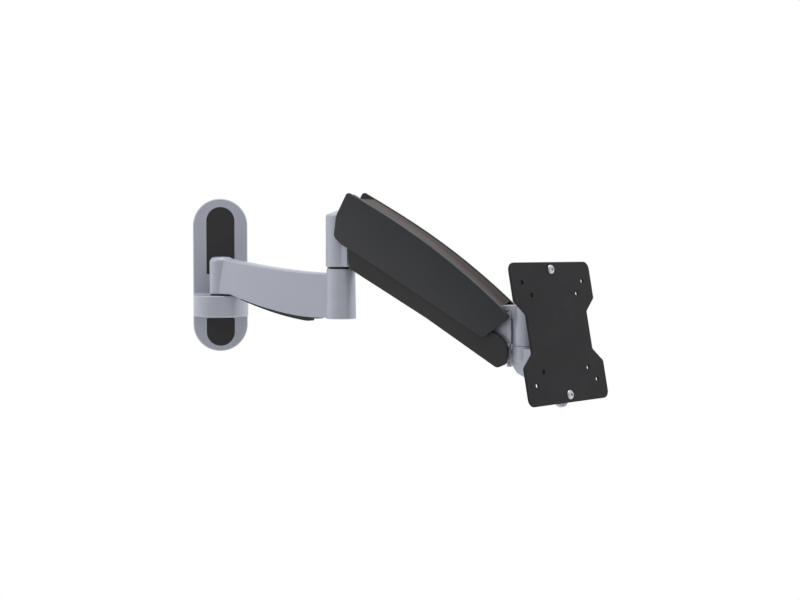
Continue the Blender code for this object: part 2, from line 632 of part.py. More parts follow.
# ---------------------------------------------------------------- lower arm
def lower_cover_outline():
    """Side view of the lower cover: straight underside, round nose at the head end."""
    return rounded([(-8.6, 6.0, 4.0), (-8.2, -2.5, 5.0), (4.8, -19.0, 4.0), (110.0, -17.2, 0.0),
                    (203.6, -19.6, 6.0), (211.2, -9.6, 6.0), (203.4, 6.2, 7.0), (190.0, 10.8, 8.0),
                    (176.0, 9.0, 6.0), (150.0, 0.0, 10.0), (30.0, 0.0, 10.0), (8.0, 8.0, 6.0)], 4)


def make_lower_arm():
    outline = capsule((0.0, 0.0), (LINK_LENGTH, 0.0), 7.0, 6.99)
    link = sheet("lower_link", LINK, "black_steel", outline, -RAIL_OUTER, RAIL_OUTER, edge=0.6)
    inside = (-RAIL_INNER, RAIL_INNER)
    cut(link, box("link_inside", LINK, None, (-20.0, LINK_LENGTH + 20.0), inside, (-4.6, 20.0)))
    for low, high in ((-20.0, 13.0), (LINK_LENGTH - 13.0, LINK_LENGTH + 20.0)):
        cut(link, box("link_end", LINK, None, (low, high), inside, (-20.0, 0.0)))
    for x in (0.0, LINK_LENGTH):
        cut(link, cylinder("link_bore", LINK, None, 3.6, -20.0, 20.0, (x, 0.0), "Y"))
    inner, outer = LOWER_SKIN
    cover = sheet("lower_cover", LINK, "cover_plastic", lower_cover_outline(), -outer, outer, edge=0.9)
    hollow = (-inner, inner)
    cut(cover, box("cover_inside", LINK, None, (-30.0, LINK_LENGTH + 40.0), hollow, (-15.6, 40.0)))
    cut(cover, box("cover_rear", LINK, None, (-30.0, 12.0), hollow, (-40.0, 0.0)))
    cut(cover, box("cover_front", LINK, None, (LINK_LENGTH - 10.0, LINK_LENGTH + 40.0), hollow, (-40.0, 0.0)))
    for x in (50.0, 140.0):
        fuse(cover, cylinder("cover_post", LINK, None, 3.4, -17.0, -7.0 - GAP, (x, 0.0)))
    cross_pin("rear_lower_pin", LINK, 3.3, 13.8, (0.0, 0.0))
    cross_pin("front_lower_pin", LINK, 3.3, 13.8, (LINK_LENGTH, 0.0))
    return cover


# ---------------------------------------------------------------- end link and head
def make_end_link():
    """Holds the front pivots at its rear and the head's upright barrel at its front."""
    outline = rounded([(-7.6, 7.6, 7.5), (-7.6, -PIVOT_DROP - 7.6, 7.5), (7.6, -PIVOT_DROP - 7.6, 7.5),
                       (10.0, -27.0, 1.0), (HEAD_REACH + 1.0, -27.0, 0.0), (HEAD_REACH + 1.0, -1.5, 0.0),
                       (7.6, -1.5, 1.0), (7.6, 7.6, 7.5)], 5)
    link = sheet("end_link", END, "silver_paint", outline, -LUG_HALF, LUG_HALF, edge=0.8)
    for side in (-1.0, 1.0):
        cut(link, box("web_groove", END, None, (14.4, 19.5), sorted((side * 5.6, side * 14.0)), (-40.0, 10.0)))
    foot = HEAD_SEAT + SEAM
    barrel = turned("barrel_adder", END, None,
                    [(0.0, HEAD_TOP), (HEAD_RADIUS - 1.2, HEAD_TOP), (HEAD_RADIUS, HEAD_TOP - 1.2),
                     (HEAD_RADIUS, foot + 0.9), (HEAD_RADIUS - 0.5, foot + GAP), (11.2, foot + GAP),
                     (11.2, foot + 1.5), (0.0, foot + 1.5)], (HEAD_REACH, 0.0, 0.0), sides=ROUND)
    neck = rounded([(3.5, HEAD_TOP - 0.6, 0.8), (3.5, 8.9, 0.6), (12.5, 7.6, 3.0), (17.2, -3.0, 6.0),
                    (20.0, -18.0, 6.0), (HEAD_REACH + 2.0, -22.0, 0.0),
                    (HEAD_REACH + 2.0, HEAD_TOP - 0.6, 0.0)], 4)
    fuse(link, barrel, sheet("neck_adder", END, None, neck, -11.0, 11.0))
    at = (HEAD_REACH, 0.0)
    cut(link, cylinder("head_bore", END, None, 6.6, HEAD_SEAT - 3.0, HEAD_TOP + 3.0, at))
    cut(link, cylinder("head_well", END, None, 10.0, HEAD_TOP - 11.0, HEAD_TOP + 3.0, at, sides=ROUND))
    for height in (0.0, -PIVOT_DROP):
        radius = 5.0
        cut(link, cylinder("front_bore", END, None, radius, -14.0, 14.0, (0.0, height), "Y"))
    cut(link, cylinder("stop_bore", END, None, 2.2, -40.0, -16.0, (8.2, 0.0)))
    return link


def make_end_fittings():
    pivot_bush("front_upper_bush", END, (0.0, 0.0))
    pivot_bush("front_lower_bush", END, (0.0, -PIVOT_DROP))
    turned("swivel_stop_screw", END, "zinc_steel",
           [(0.0, -17.0), (1.9, -17.0), (1.9, -46.5), (3.0, -46.5), (3.0, -50.2), (2.5, -50.7), (0.0, -50.7)],
           (8.2, 0.0, 0.0))
    at = (HEAD_REACH, 0.0, 0.0)
    seat = HEAD_SEAT + SEAM
    bush("head_bush", END, "nylon", 5.3, 6.3, seat + 0.2, HEAD_TOP - 11.5, 10.8, -1.0, at)
    turned("head_cap", END, "silver_paint",
           [(0.0, HEAD_TOP - 0.4), (9.2, HEAD_TOP - 0.4), (9.7, HEAD_TOP - 0.9), (9.7, HEAD_TOP - 2.4),
            (0.0, HEAD_TOP - 2.4)], at, sides=ROUND)


def make_swivel_bracket():
    """A disc under the barrel that turns into a clevis for the tilt barrel."""
    tilt_x, tilt_z = TILT_AXIS
    bracket = turned("swivel_bracket", SWIVEL, "silver_paint",
                     [(0.0, SEAM), (HEAD_RADIUS - 0.6, SEAM), (HEAD_RADIUS, SEAM - 0.6),
                      (HEAD_RADIUS, -12.0), (HEAD_RADIUS - 3.5, -17.5), (0.0, -17.5)], sides=ROUND)
    cheek = rounded([(-2.0, -0.4, 0.0), (tilt_x + 10.0, -0.4, 6.0), (tilt_x + 16.0, tilt_z + 2.0, 10.0),
                     (tilt_x + 13.0, tilt_z - 16.0, 14.0), (12.0, -31.0, 12.0),
                     (-2.4, -25.0, 5.0), (-9.2, -16.8, 3.0), (-9.2, -6.0, 4.0)], 5)
    fuse(bracket, sheet("cheek_adder", SWIVEL, None, cheek, -11.4, 11.4, edge=0.9))
    cut(bracket, box("clevis_slot", SWIVEL, None, (tilt_x - 11.0, tilt_x + 30.0), (-7.0, 7.0),
                     (tilt_z - 30.0, tilt_z + 11.0)))
    cut(bracket, box("neck_slot", SWIVEL, None, (tilt_x - 3.5, tilt_x + 30.0), (-7.0, 7.0),
                     (tilt_z, 20.0)))
    cut(bracket, cylinder("tilt_bore", SWIVEL, None, 3.3, -20.0, 20.0, (tilt_x, tilt_z), "Y"))
    cut(bracket, cylinder("pin_bore", SWIVEL, None, 5.0, -30.0, 8.0))
    return bracket


def make_swivel_fittings():
    top = HEAD_TOP - HEAD_SEAT
    pin = turned("head_pin", SWIVEL, "zinc_steel",
                 [(0.0, top - 3.6), (3.8, top - 3.6), (4.2, top - 4.0), (4.2, top - 10.9), (4.9, top - 11.2),
                  (4.9, 1.0), (4.7, 0.4), (4.7, -16.0), (4.3, -16.4), (0.0, -16.4)])
    turned("head_washer", SWIVEL, "zinc_steel",
           [(8.6, top - 9.4), (8.6, top - 10.6), (4.5, top - 10.6), (4.5, top - 9.4)], ring=True)
    nut = hexagon("head_nut", SWIVEL, "zinc_steel", 7.6, top - 9.1, top - 4.2)
    cut(nut, cylinder("head_nut_bore", SWIVEL, None, 4.5, top - 14.0, top))
    at = (TILT_AXIS[0], 0.0, TILT_AXIS[1])
    bolt = turned("tilt_bolt", SWIVEL, "zinc_steel",
                  [(0.0, 14.6), (2.6, 14.6), (3.0, 14.2), (3.0, -11.7), (5.6, -11.7), (5.6, -14.4),
                   (5.2, -14.8), (0.0, -14.8)], at, "Y")
    cut(bolt, hexagon("tilt_socket", SWIVEL, None, 2.6, -17.0, -12.8, (at[0], at[2]), "Y"))
    nut = hexagon("tilt_nut", SWIVEL, "zinc_steel", 5.6, 11.8, 14.4, (at[0], at[2]), "Y")
    cut(nut, cylinder("tilt_nut_bore", SWIVEL, None, 3.3, 5.0, 20.0, (at[0], at[2]), "Y"))
    return pin


def make_tilt_head():
    """The tilt barrel and, ahead of it, the round seat that the display plate turns on."""
    knuckle = cylinder("tilt_knuckle", TILT, "silver_paint", 10.4, -6.6, 6.6, axis="Y", sides=ROUND)
    rise = DISPLAY_RISE
    arm = rounded([(1.5, -4.0, 0.0), (6.0, -4.0, 0.0), (9.0, 9.0, 5.0), (13.0, rise - 14.0, 2.0),
                   (13.0, rise + 8.0, 2.0), (6.5, rise + 8.0, 3.0), (3.5, rise - 8.0, 8.0)], 4)
    fuse(knuckle, sheet("knuckle_arm", TILT, None, arm, -6.6, 6.6, edge=0.6))
    fuse(knuckle, cylinder("turn_seat", TILT, None, 13.0, 11.8, 15.3, (0.0, rise), "X", sides=ROUND))
    cut(knuckle, cylinder("knuckle_bore", TILT, None, 3.4, -12.0, 12.0, axis="Y"))
    cut(knuckle, cylinder("turn_bore", TILT, None, 4.3, 5.0, 20.0, (0.0, rise), "X"))
    bolt = turned("turn_bolt", TILT, "zinc_steel",
                  [(0.0, 24.8), (6.2, 24.8), (6.8, 24.2), (6.8, 21.3), (4.0, 21.3), (4.0, 7.0), (3.5, 6.5),
                   (0.0, 6.5)], (0.0, 0.0, rise), "X")
    cut(bolt, hexagon("turn_socket", TILT, None, 3.0, 22.6, 27.0, (0.0, rise), "X"))
    turned("turn_washer", TILT, "nylon", [(12.0, 16.6), (12.0, 15.6), (4.3, 15.6), (4.3, 16.6)],
           (0.0, 0.0, rise), "X", ring=True)
    return knuckle


def display_outline():
    """The display plate: a rectangle with a shallow waist cut into each side."""
    half_w, half_h = VESA_WIDTH / 2.0, VESA_HEIGHT / 2.0
    waist = 50.0
    right = [(half_w, -half_h, 8.0), (half_w, -32.0, 3.0), (waist, -19.0, 3.0), (waist, 19.0, 3.0),
             (half_w, 32.0, 3.0), (half_w, half_h, 8.0)]
    left = [(-x, y, radius) for x, y, radius in reversed(right)]
    return rounded(right + left, 5)


def make_display_plate():
    plate = sheet("vesa_plate", DISPLAY, "black_steel", display_outline(), -VESA_THICK, 0.0, "YZ", edge=0.5)
    for pattern in VESA_PATTERNS:
        for across in (-pattern / 2.0, pattern / 2.0):
            for up in (-pattern / 2.0, pattern / 2.0):
                cut(plate, cylinder("vesa_hole", DISPLAY, None, 2.5, -9.0, 5.0, (across, up), "X", sides=16))
    bar_back = 16.9 - DISPLAY_OUT
    bar_front = bar_back + 4.0
    outline = capsule((0.0, -SCREW_RISE), (0.0, SCREW_RISE), 11.0, 7.8, 10)
    bar = sheet("plate_bar", DISPLAY, "silver_paint", outline, bar_back, bar_front, "YZ", edge=0.7)
    fuse(bar, cylinder("bar_hub", DISPLAY, None, 15.0, bar_back + 0.3, bar_front - 0.3, axis="X", sides=ROUND))
    cut(bar, cylinder("bar_bore", DISPLAY, None, 4.4, bar_back - 5.0, bar_front + 5.0, axis="X"))
    for name, up in (("upper", SCREW_RISE), ("lower", -SCREW_RISE)):
        for item, low, high in ((plate, -9.0, 5.0), (bar, bar_back - 5.0, bar_front + 5.0)):
            cut(item, cylinder("screw_hole", DISPLAY, None, 3.0, low, high, (0.0, up), "X", sides=16))
        turned("plate_spacer_" + name, DISPLAY, "zinc_steel",
               [(5.5, -VESA_THICK - GAP), (5.5, bar_front + GAP), (3.0, bar_front + GAP),
                (3.0, -VESA_THICK - GAP)], (0.0, 0.0, up), "X", ring=True)
        screw = turned("plate_screw_" + name, DISPLAY, "zinc_steel",
                       [(0.0, 1.9), (3.0, 1.7), (4.4, 1.1), (4.7, GAP), (2.6, GAP),
                        (2.6, bar_back - 0.8), (0.0, bar_back - 0.8)], (0.0, 0.0, up), "X")
        cut(screw, hexagon("screw_socket", DISPLAY, None, 1.9, 0.6, 4.0, (0.0, up), "X"))
    return plate


make_wall_plate()
make_wall_fittings()
make_arm_1()
make_arm_1_fittings()
make_base()
make_base_fittings()
make_upper_beam()
make_upper_covers()
make_spring()
make_upper_arm_pins()
make_lower_arm()
make_end_link()
make_end_fittings()
make_swivel_bracket()
make_swivel_fittings()
make_tilt_head()
make_display_plate()
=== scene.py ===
"""Looks of a full motion display wall mount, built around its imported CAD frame.

Sizes are in millimetres and are scaled once, when a mesh is made. Each moving body has a
matrix on its joint, and its pieces are drawn in that body's own frame, +X out along it.
"""
import json
import math

import bmesh
import bpy
from mathutils import Euler, Matrix, Vector


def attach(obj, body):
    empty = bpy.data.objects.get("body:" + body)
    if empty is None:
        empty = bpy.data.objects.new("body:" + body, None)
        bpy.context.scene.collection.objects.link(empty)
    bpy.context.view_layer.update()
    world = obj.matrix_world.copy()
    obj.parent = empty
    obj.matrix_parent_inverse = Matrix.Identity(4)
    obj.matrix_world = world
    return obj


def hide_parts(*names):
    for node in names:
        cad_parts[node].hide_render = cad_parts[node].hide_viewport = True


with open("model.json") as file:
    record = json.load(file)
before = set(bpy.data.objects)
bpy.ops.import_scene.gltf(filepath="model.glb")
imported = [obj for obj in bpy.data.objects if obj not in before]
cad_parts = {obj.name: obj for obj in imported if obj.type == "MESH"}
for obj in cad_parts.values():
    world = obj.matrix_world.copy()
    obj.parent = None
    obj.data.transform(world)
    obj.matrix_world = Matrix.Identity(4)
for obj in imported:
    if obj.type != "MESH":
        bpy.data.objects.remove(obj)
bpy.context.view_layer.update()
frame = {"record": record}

MM = 0.001
FINE = 72                      # sides of a large turned piece
MEDIUM = 40                    # sides of a pin, bush or screw
SHARP_ANGLE = 30.0             # a crease sharper than this stays a crease in the shading
EDGE_ANGLE = 40.0              # an edge sharper than this is softened
GAP = 0.3                      # clearance between neighbouring pieces

# ---------------------------------------------------------------- driving sizes
PLATE_WIDTH, PLATE_HEIGHT, PLATE_DEPTH = 62.6, 177.4, 12.0
RECESS_WIDTH, RECESS_DEPTH = 32.4, 3.2
UPPER_RECESS = (1.0, 79.0)
LOWER_RECESS = (-82.5, -50.0)
LAG_HOLES = (58.0, 22.0, -64.0)
COLLAR_TOP, COLLAR_BOTTOM, COLLAR_CENTRE = -23.2, -47.5, 22.0
WALL_PIVOT = 34.0
ARM_1_LENGTH, ARM_1_YAW, ARM_1_SEAT = 172.5, -45.0, -21.2
WALL_END_RADIUS, WALL_END_TOP = 13.6, 21.6
ELBOW_SEAT, ELBOW_FOOT, ELBOW_RADIUS = 8.7, -45.0, 15.5
ARM_2_YAW, ARM_2_SLOPE = 5.5, 29.5
BASE_SEAT, BASE_TOP, BASE_RADIUS = 11.1, 73.0, 16.3
PIVOT_X, PIVOT_TOP, PIVOT_DROP = 26.0, 56.0, 28.0
LINK_LENGTH, HEAD_REACH, LUG_HALF = 190.7, 26.0, 10.2
PIVOT_BORE, PIN_RADIUS, PIN_HOLE = 5.0, 3.3, 3.6
RAIL_INNER, RAIL_OUTER = 10.6, 13.4
LOWER_SKIN, UPPER_SKIN = (14.3, 16.7), (17.0, 20.0)
SPRING_PIN, SPRING_FRONT, SPRING_RADIUS = (5.0, -14.0), (150.0, -2.0), 8.2
HEAD_RADIUS, HEAD_TOP, HEAD_SEAT, HEAD_YAW = 13.0, 12.0, -31.0, -12.9
SEAM = 2.0                     # the seam's height above the head seat
TILT_AXIS, TILT_UP = (18.0, -15.5), 11.1
DISPLAY_OUT, DISPLAY_RISE = 30.8, 27.8
VESA_WIDTH, VESA_HEIGHT, VESA_THICK = 131.1, 139.6, 2.5
VESA_PATTERNS, SCREW_RISE = (75.0, 100.0), 62.3
# holes closed by a thin dark web inside the plate: painted shade for the dark seen through them
DARK_HOLES = ((-50.0, 50.0), (-37.5, 37.5), (-37.5, -37.5))
# the lower cover takes a darker copy of the cover plastic, a painted shade for its recessed place under the
# upper covers
PAINTED_SHADE_COPIES = {"lower_cover": "shaded_copy_cover_plastic"}


def placed(at, turn=(0.0, 0.0, 0.0)):
    turned_by = Euler([math.radians(angle) for angle in turn]).to_matrix().to_4x4()
    return Matrix.Translation(Vector(at) * MM) @ turned_by


WALL = Matrix.Identity(4)
ARM_1 = placed((0.0, -WALL_PIVOT, 0.0), (0.0, 0.0, ARM_1_YAW))
BASE = ARM_1 @ placed((ARM_1_LENGTH, 0.0, 0.0), (0.0, 0.0, ARM_2_YAW))
BEAM = BASE @ placed((PIVOT_X, 0.0, PIVOT_TOP), (0.0, ARM_2_SLOPE, 0.0))
LINK = BASE @ placed((PIVOT_X, 0.0, PIVOT_TOP - PIVOT_DROP), (0.0, ARM_2_SLOPE, 0.0))
END = BEAM @ placed((LINK_LENGTH, 0.0, 0.0), (0.0, -ARM_2_SLOPE, 0.0))
SWIVEL = END @ placed((HEAD_REACH, 0.0, HEAD_SEAT), (0.0, 0.0, HEAD_YAW))
TILT = SWIVEL @ placed((TILT_AXIS[0], 0.0, TILT_AXIS[1]), (0.0, -TILT_UP, 0.0))
DISPLAY = TILT @ placed((DISPLAY_OUT, 0.0, DISPLAY_RISE))


# ---------------------------------------------------------------- materials
class Nodes:
    """A short way to build one material's node tree."""

    def __init__(self, name):
        self.material = bpy.data.materials.new(name)
        self.material.use_nodes = True
        self.tree = self.material.node_tree
        self.shader = self.tree.nodes["Principled BSDF"]

    def add(self, kind, settings=None, **inputs):
        node = self.tree.nodes.new(kind)
        for key, value in (settings or {}).items():
            setattr(node, key, value)
        for key, value in inputs.items():
            self.feed(node, key.replace("_", " "), value)
        return node

    def feed(self, node, key, value):
        if isinstance(value, bpy.types.NodeSocket):
            self.tree.links.new(value, node.inputs[key])
        else:
            node.inputs[key].default_value = value

    def noise(self, scale, detail=3.0, roughness=0.55, stretch=None):
        place = self.add("ShaderNodeTexCoord").outputs["Object"]
        if stretch:
            place = self.add("ShaderNodeMapping", Vector=place, Scale=stretch).outputs["Vector"]
        return self.add("ShaderNodeTexNoise", Vector=place, Scale=scale, Detail=detail,
                        Roughness=roughness).outputs["Fac"]

    def spread(self, value, low, high, start=0.3, stop=0.7):
        return self.add("ShaderNodeMapRange", Value=value, From_Min=start, From_Max=stop, To_Min=low,
                        To_Max=high).outputs["Result"]

    def blend(self, factor, first, second):
        node = self.add("ShaderNodeMix", {"data_type": "RGBA"})
        self.feed(node, 0, factor)
        self.feed(node, 6, first)
        self.feed(node, 7, second)
        return node.outputs[2]

    def bump(self, height, strength, distance, under=None):
        node = self.add("ShaderNodeBump", Height=height, Strength=strength, Distance=distance)
        if under:
            self.feed(node, "Normal", under)
        return node.outputs["Normal"]


def shade_of(colour, factor):
    return tuple(min(part * factor, 1.0) for part in colour[:3]) + (1.0,)


def finish_material(name, colour, metallic, rough, grain, mottle=0.06, wear_and_highlight=0.0, specular=0.5, coat=0.0,
                    smear=None, painted_shade_fade=None):
    """Base colour with soft mottling, uneven gloss, a fine moulded or sprayed grain, and lighter edges that
    are both rubbed wear and a painted edge highlight.

    A painted shade fade is the darker, bluer colour that the piece turns to along its length, painted shade
    in place of light that falls off towards its far end, and where that change starts and stops.
    """
    made = Nodes(name)
    shader = made.shader
    made.feed(shader, "Metallic", metallic)
    made.feed(shader, "Specular IOR Level", specular)
    made.feed(shader, "Coat Weight", coat)
    made.feed(shader, "Coat Roughness", 0.25)
    clouds = made.noise(11.0, 4.0, 0.6)
    specks = made.noise(420.0, 2.0, 0.5)
    tone = made.blend(made.spread(clouds, 0.0, 1.0), shade_of(colour, 1.0 - mottle),
                      shade_of(colour, 1.0 + mottle))
    tone = made.blend(made.spread(specks, 0.0, 0.5, 0.35, 0.75), tone, shade_of(colour, 1.0 + mottle * 1.6))
    # painted shade: the colour darkens and turns bluer along object X plus Z, towards the head end
    if painted_shade_fade:
        other, start, stop = painted_shade_fade
        along = made.add("ShaderNodeSeparateXYZ", Vector=made.add("ShaderNodeTexCoord").outputs["Object"])
        lean = made.add("ShaderNodeMath", {"operation": "ADD"})
        made.feed(lean, 0, along.outputs["X"])
        made.feed(lean, 1, along.outputs["Z"])
        tone = made.blend(made.spread(lean.outputs[0], 0.0, 1.0, start, stop), tone, other)
    # lighter convex edges: partly rubbed wear, partly a painted highlight where the edges would catch the
    # light
    if wear_and_highlight > 0.0:
        edge = made.add("ShaderNodeNewGeometry").outputs["Pointiness"]
        rubbed_and_lit = made.add("ShaderNodeMath", {"operation": "MULTIPLY"})
        made.feed(rubbed_and_lit, 0, made.spread(edge, 0.0, wear_and_highlight, 0.52, 0.60))
        made.feed(rubbed_and_lit, 1, made.spread(made.noise(90.0, 5.0, 0.65), 0.3, 1.0, 0.35, 0.65))
        tone = made.blend(rubbed_and_lit.outputs[0], tone, shade_of(colour, 1.55))
    made.feed(shader, "Base Color", tone)
    patches = made.noise(26.0, 5.0, 0.62, smear)
    low, high = rough
    made.feed(shader, "Roughness", made.spread(patches, low, high, 0.3, 0.72))
    scale, strength, depth = grain
    fine = made.bump(made.noise(scale, 2.0, 0.5, smear), strength, depth * MM)
    wave = made.bump(made.noise(scale * 0.16, 2.0, 0.4), strength * 0.55, depth * 2.5 * MM, fine)
    made.feed(shader, "Normal", wave)
    made.material.diffuse_color = shade_of(colour, 1.0)
    return made.material


def make_materials():
    return {
        "silver_paint": finish_material("silver_powder_coat", (0.474, 0.491, 0.568), 0.36, (0.36, 0.48),
                                        (1700.0, 0.22, 0.035), 0.035, 0.5, 0.5, 0.10),
        "black_plastic": finish_material("black_textured_plastic", (0.030, 0.030, 0.032), 0.0, (0.50, 0.66),
                                         (2300.0, 0.40, 0.05), 0.10, 0.0, 0.35),
        # the upper covers carry a painted shade that darkens them towards the head
        "cover_plastic": finish_material("charcoal_moulded_plastic", (0.045, 0.0455, 0.049), 0.0,
                                         (0.38, 0.52), (2100.0, 0.30, 0.04), 0.08, 0.10, 0.36,
                                         painted_shade_fade=((0.017, 0.019, 0.025, 1.0), 0.15, 0.27)),
        # a darker copy of the cover plastic: painted shade for the lower cover
        "shaded_copy_cover_plastic": finish_material("painted_shade_moulded_plastic", (0.033, 0.033, 0.035), 0.0,
                                             (0.42, 0.56), (2100.0, 0.30, 0.04), 0.08, 0.10, 0.30),
        "strip_plastic": finish_material("warm_grey_plastic", (0.077, 0.064, 0.059), 0.0, (0.48, 0.64),
                                         (1900.0, 0.30, 0.04), 0.07, 0.0, 0.25),
        "black_steel": finish_material("black_powder_coat", (0.022, 0.022, 0.0245), 0.0, (0.54, 0.68),
                                       (1500.0, 0.34, 0.05), 0.08, 0.12, 0.18),
        "zinc_steel": finish_material("zinc_plated_steel", (0.56, 0.57, 0.60), 1.0, (0.22, 0.40),
                                      (900.0, 0.16, 0.03), 0.06, 0.3, 0.5, 0.0, (1.0, 1.0, 0.2)),
        "nylon": finish_material("black_nylon", (0.018, 0.018, 0.020), 0.0, (0.46, 0.58),
                                 (1400.0, 0.2, 0.03), 0.06, 0.0, 0.4),
        "spring_paint": finish_material("gloss_black_enamel", (0.022, 0.022, 0.026), 0.0, (0.16, 0.26),
                                        (700.0, 0.10, 0.03), 0.05, 0.0, 0.5, 0.5),
    }


MATERIALS = make_materials()


# ---------------------------------------------------------------- outlines
def arc(centre, radius, start, end, steps):
    """Points on a circle from one angle to another, in degrees."""
    points = []
    for step in range(steps + 1):
        angle = math.radians(start + (end - start) * step / steps)
        points.append((centre[0] + radius * math.cos(angle), centre[1] + radius * math.sin(angle)))
    return points


def rounded(corners, steps=10):
    """A closed outline through (x, y, radius) corners, each corner turned as an arc."""
    points = []
    count = len(corners)
    for index in range(count):
        x, y, radius = corners[index]
        here = Vector((x, y))
        if radius <= 0.0:
            points.append((x, y))
            continue
        before = (Vector(corners[index - 1][:2]) - here).normalized()
        after = (Vector(corners[(index + 1) % count][:2]) - here).normalized()
        half = before.angle(after) / 2.0
        centre = here + (before + after).normalized() * (radius / math.sin(half))
        first = here + before * (radius / math.tan(half)) - centre
        last = here + after * (radius / math.tan(half)) - centre
        start = math.atan2(first.y, first.x)
        sweep = (math.atan2(last.y, last.x) - start + math.pi) % (2.0 * math.pi) - math.pi
        for step in range(steps + 1):
            angle = start + sweep * step / steps
            points.append((centre.x + radius * math.cos(angle), centre.y + radius * math.sin(angle)))
    return points


def capsule(first, second, radius_1, radius_2, steps=20):
    """The outline round two circles, as a strap with round ends."""
    span = Vector(second) - Vector(first)
    lean = math.degrees(math.atan2(span.y, span.x))
    opening = math.degrees(math.acos((radius_1 - radius_2) / span.length))
    end = arc(second, radius_2, lean - opening, lean + opening, steps)
    return end + arc(first, radius_1, lean + opening, lean + 360.0 - opening, steps)


def stadium(width, low, high, round_low=True, round_high=True, steps=40):
    """An upright slot outline with round or square ends."""
    half = width / 2.0
    corner = 1.2
    top = arc((0.0, high - half), half, 0.0, 180.0, steps) if round_high else (
        arc((half - corner, high - corner), corner, 0.0, 90.0, 6)
        + arc((corner - half, high - corner), corner, 90.0, 180.0, 6))
    foot = arc((0.0, low + half), half, 180.0, 360.0, steps) if round_low else (
        arc((corner - half, low + corner), corner, 180.0, 270.0, 6)
        + arc((half - corner, low + corner), corner, 270.0, 360.0, 6))
    return top + foot


def smooth_step(value):
    value = min(max(value, 0.0), 1.0)
    return value * value * (3.0 - 2.0 * value)


# ---------------------------------------------------------------- solids
PIECES = {}
TOOLS = []


def new_object(name, bm, where, slot=None):
    """Make an object in a body's frame; without a slot it only cuts or joins."""
    bmesh.ops.recalc_face_normals(bm, faces=bm.faces)
    mesh = bpy.data.meshes.new(name)
    bm.to_mesh(mesh)
    bm.free()
    item = bpy.data.objects.new(name, mesh)
    bpy.context.scene.collection.objects.link(item)
    item.matrix_world = where
    if slot:
        PIECES[name] = (item, slot)
    else:
        TOOLS.append(item)
    return item


def spot(axis, along, u, v):
    """A point from its place along an axis and across it."""
    return {"X": (along, u, v), "Y": (u, along, v), "Z": (u, v, along)}[axis]


def prism(name, where, slot, outline, low, high, axis="Y", edge=0.0, steps=3):
    """A flat outline with thickness along an axis, with its rims softened."""
    bm = bmesh.new()
    rims = []
    for along in (low, high):
        rims.append([bm.verts.new(Vector(spot(axis, along, *point)) * MM) for point in outline])
    bm.faces.new(rims[0])
    bm.faces.new(rims[1])
    for index in range(len(outline)):
        after = (index + 1) % len(outline)
        bm.faces.new((rims[0][index], rims[0][after], rims[1][after], rims[1][index]))
    bmesh.ops.remove_doubles(bm, verts=bm.verts, dist=0.000002)
    item = new_object(name, bm, where, slot)
    return soften(item, edge, steps) if edge > 0.0 else item


def soften(item, width, steps=3):
    bevel = item.modifiers.new("edge", "BEVEL")
    bevel.width = width * MM
    bevel.segments = steps
    bevel.limit_method = "ANGLE"
    bevel.angle_limit = math.radians(EDGE_ANGLE)
    return item


def box(name, where, slot, x, y, z, edge=0.0):
    outline = [(x[0], z[0]), (x[1], z[0]), (x[1], z[1]), (x[0], z[1])]
    return prism(name, where, slot, outline, y[0], y[1], "Y", edge)


def bar(name, where, slot, radius, low, high, at=(0.0, 0.0), axis="Z", sides=MEDIUM):
    """A plain round or hexagonal bar, mostly for cutting; the offset keeps its corners off other corners."""
    offset = 3.0
    ring = []
    for side in range(sides):
        angle = math.radians(360.0 * side / sides + offset)
        ring.append((at[0] + radius * math.cos(angle), at[1] + radius * math.sin(angle)))
    return prism(name, where, slot, ring, low, high, axis)


def hexagon(name, where, slot, radius, low, high, at=(0.0, 0.0), axis="Z", edge=0.0):
    item = bar(name, where, slot, radius, low, high, at, axis, 6)
    return soften(item, edge, 2) if edge > 0.0 else item


def lathe(name, where, slot, profile, at=(0.0, 0.0, 0.0), axis="Z", sides=MEDIUM, soft=0.0, ring=False):
    """A (radius, height) profile turned about an axis; soft rounds each corner off the axis."""
    if soft > 0.0:
        corners = [(r, h, soft if r > 0.0 else 0.0) for r, h in profile]
        profile = rounded(corners, 4)
    bm = bmesh.new()
    rings = []
    for radius, height in profile:
        circle = []
        for side in range(1 if radius < 1e-6 else sides):
            angle = math.radians(360.0 * side / sides)
            across = (radius * math.cos(angle), radius * math.sin(angle))
            circle.append(bm.verts.new((Vector(spot(axis, height, *across)) + Vector(at)) * MM))
        rings.append(circle)
    pairs = list(zip(rings, rings[1:]))
    if ring:
        pairs.append((rings[-1], rings[0]))
    for first, second in pairs:
        for side in range(sides):
            after = (side + 1) % sides
            corners = [first[side % len(first)], first[after % len(first)],
                       second[after % len(second)], second[side % len(second)]]
            unique = []
            for corner in corners:
                if corner not in unique:
                    unique.append(corner)
            if len(unique) > 2:
                bm.faces.new(unique)
    bmesh.ops.remove_doubles(bm, verts=bm.verts, dist=0.000001)
    return new_object(name, bm, where, slot)


def loft(name, where, slot, rings):
    """A closed skin over matching rings of (x, y, z) points."""
    bm = bmesh.new()
    made = [[bm.verts.new(Vector(point) * MM) for point in ring] for ring in rings]
    count = len(rings[0])
    for first, second in zip(made, made[1:]):
        for index in range(count):
            after = (index + 1) % count
            bm.faces.new((first[index], first[after], second[after], second[index]))
    bm.faces.new(made[0])
    bm.faces.new(made[-1])
    return new_object(name, bm, where, slot)


def boolean(item, others, operation):
    for other in others:
        step = item.modifiers.new(operation.lower(), "BOOLEAN")
        step.operation = operation
        step.solver = "EXACT"
        step.object = other
    return item


def cut(item, *others):
    return boolean(item, others, "DIFFERENCE")


def fuse(item, *others):
    return boolean(item, others, "UNION")


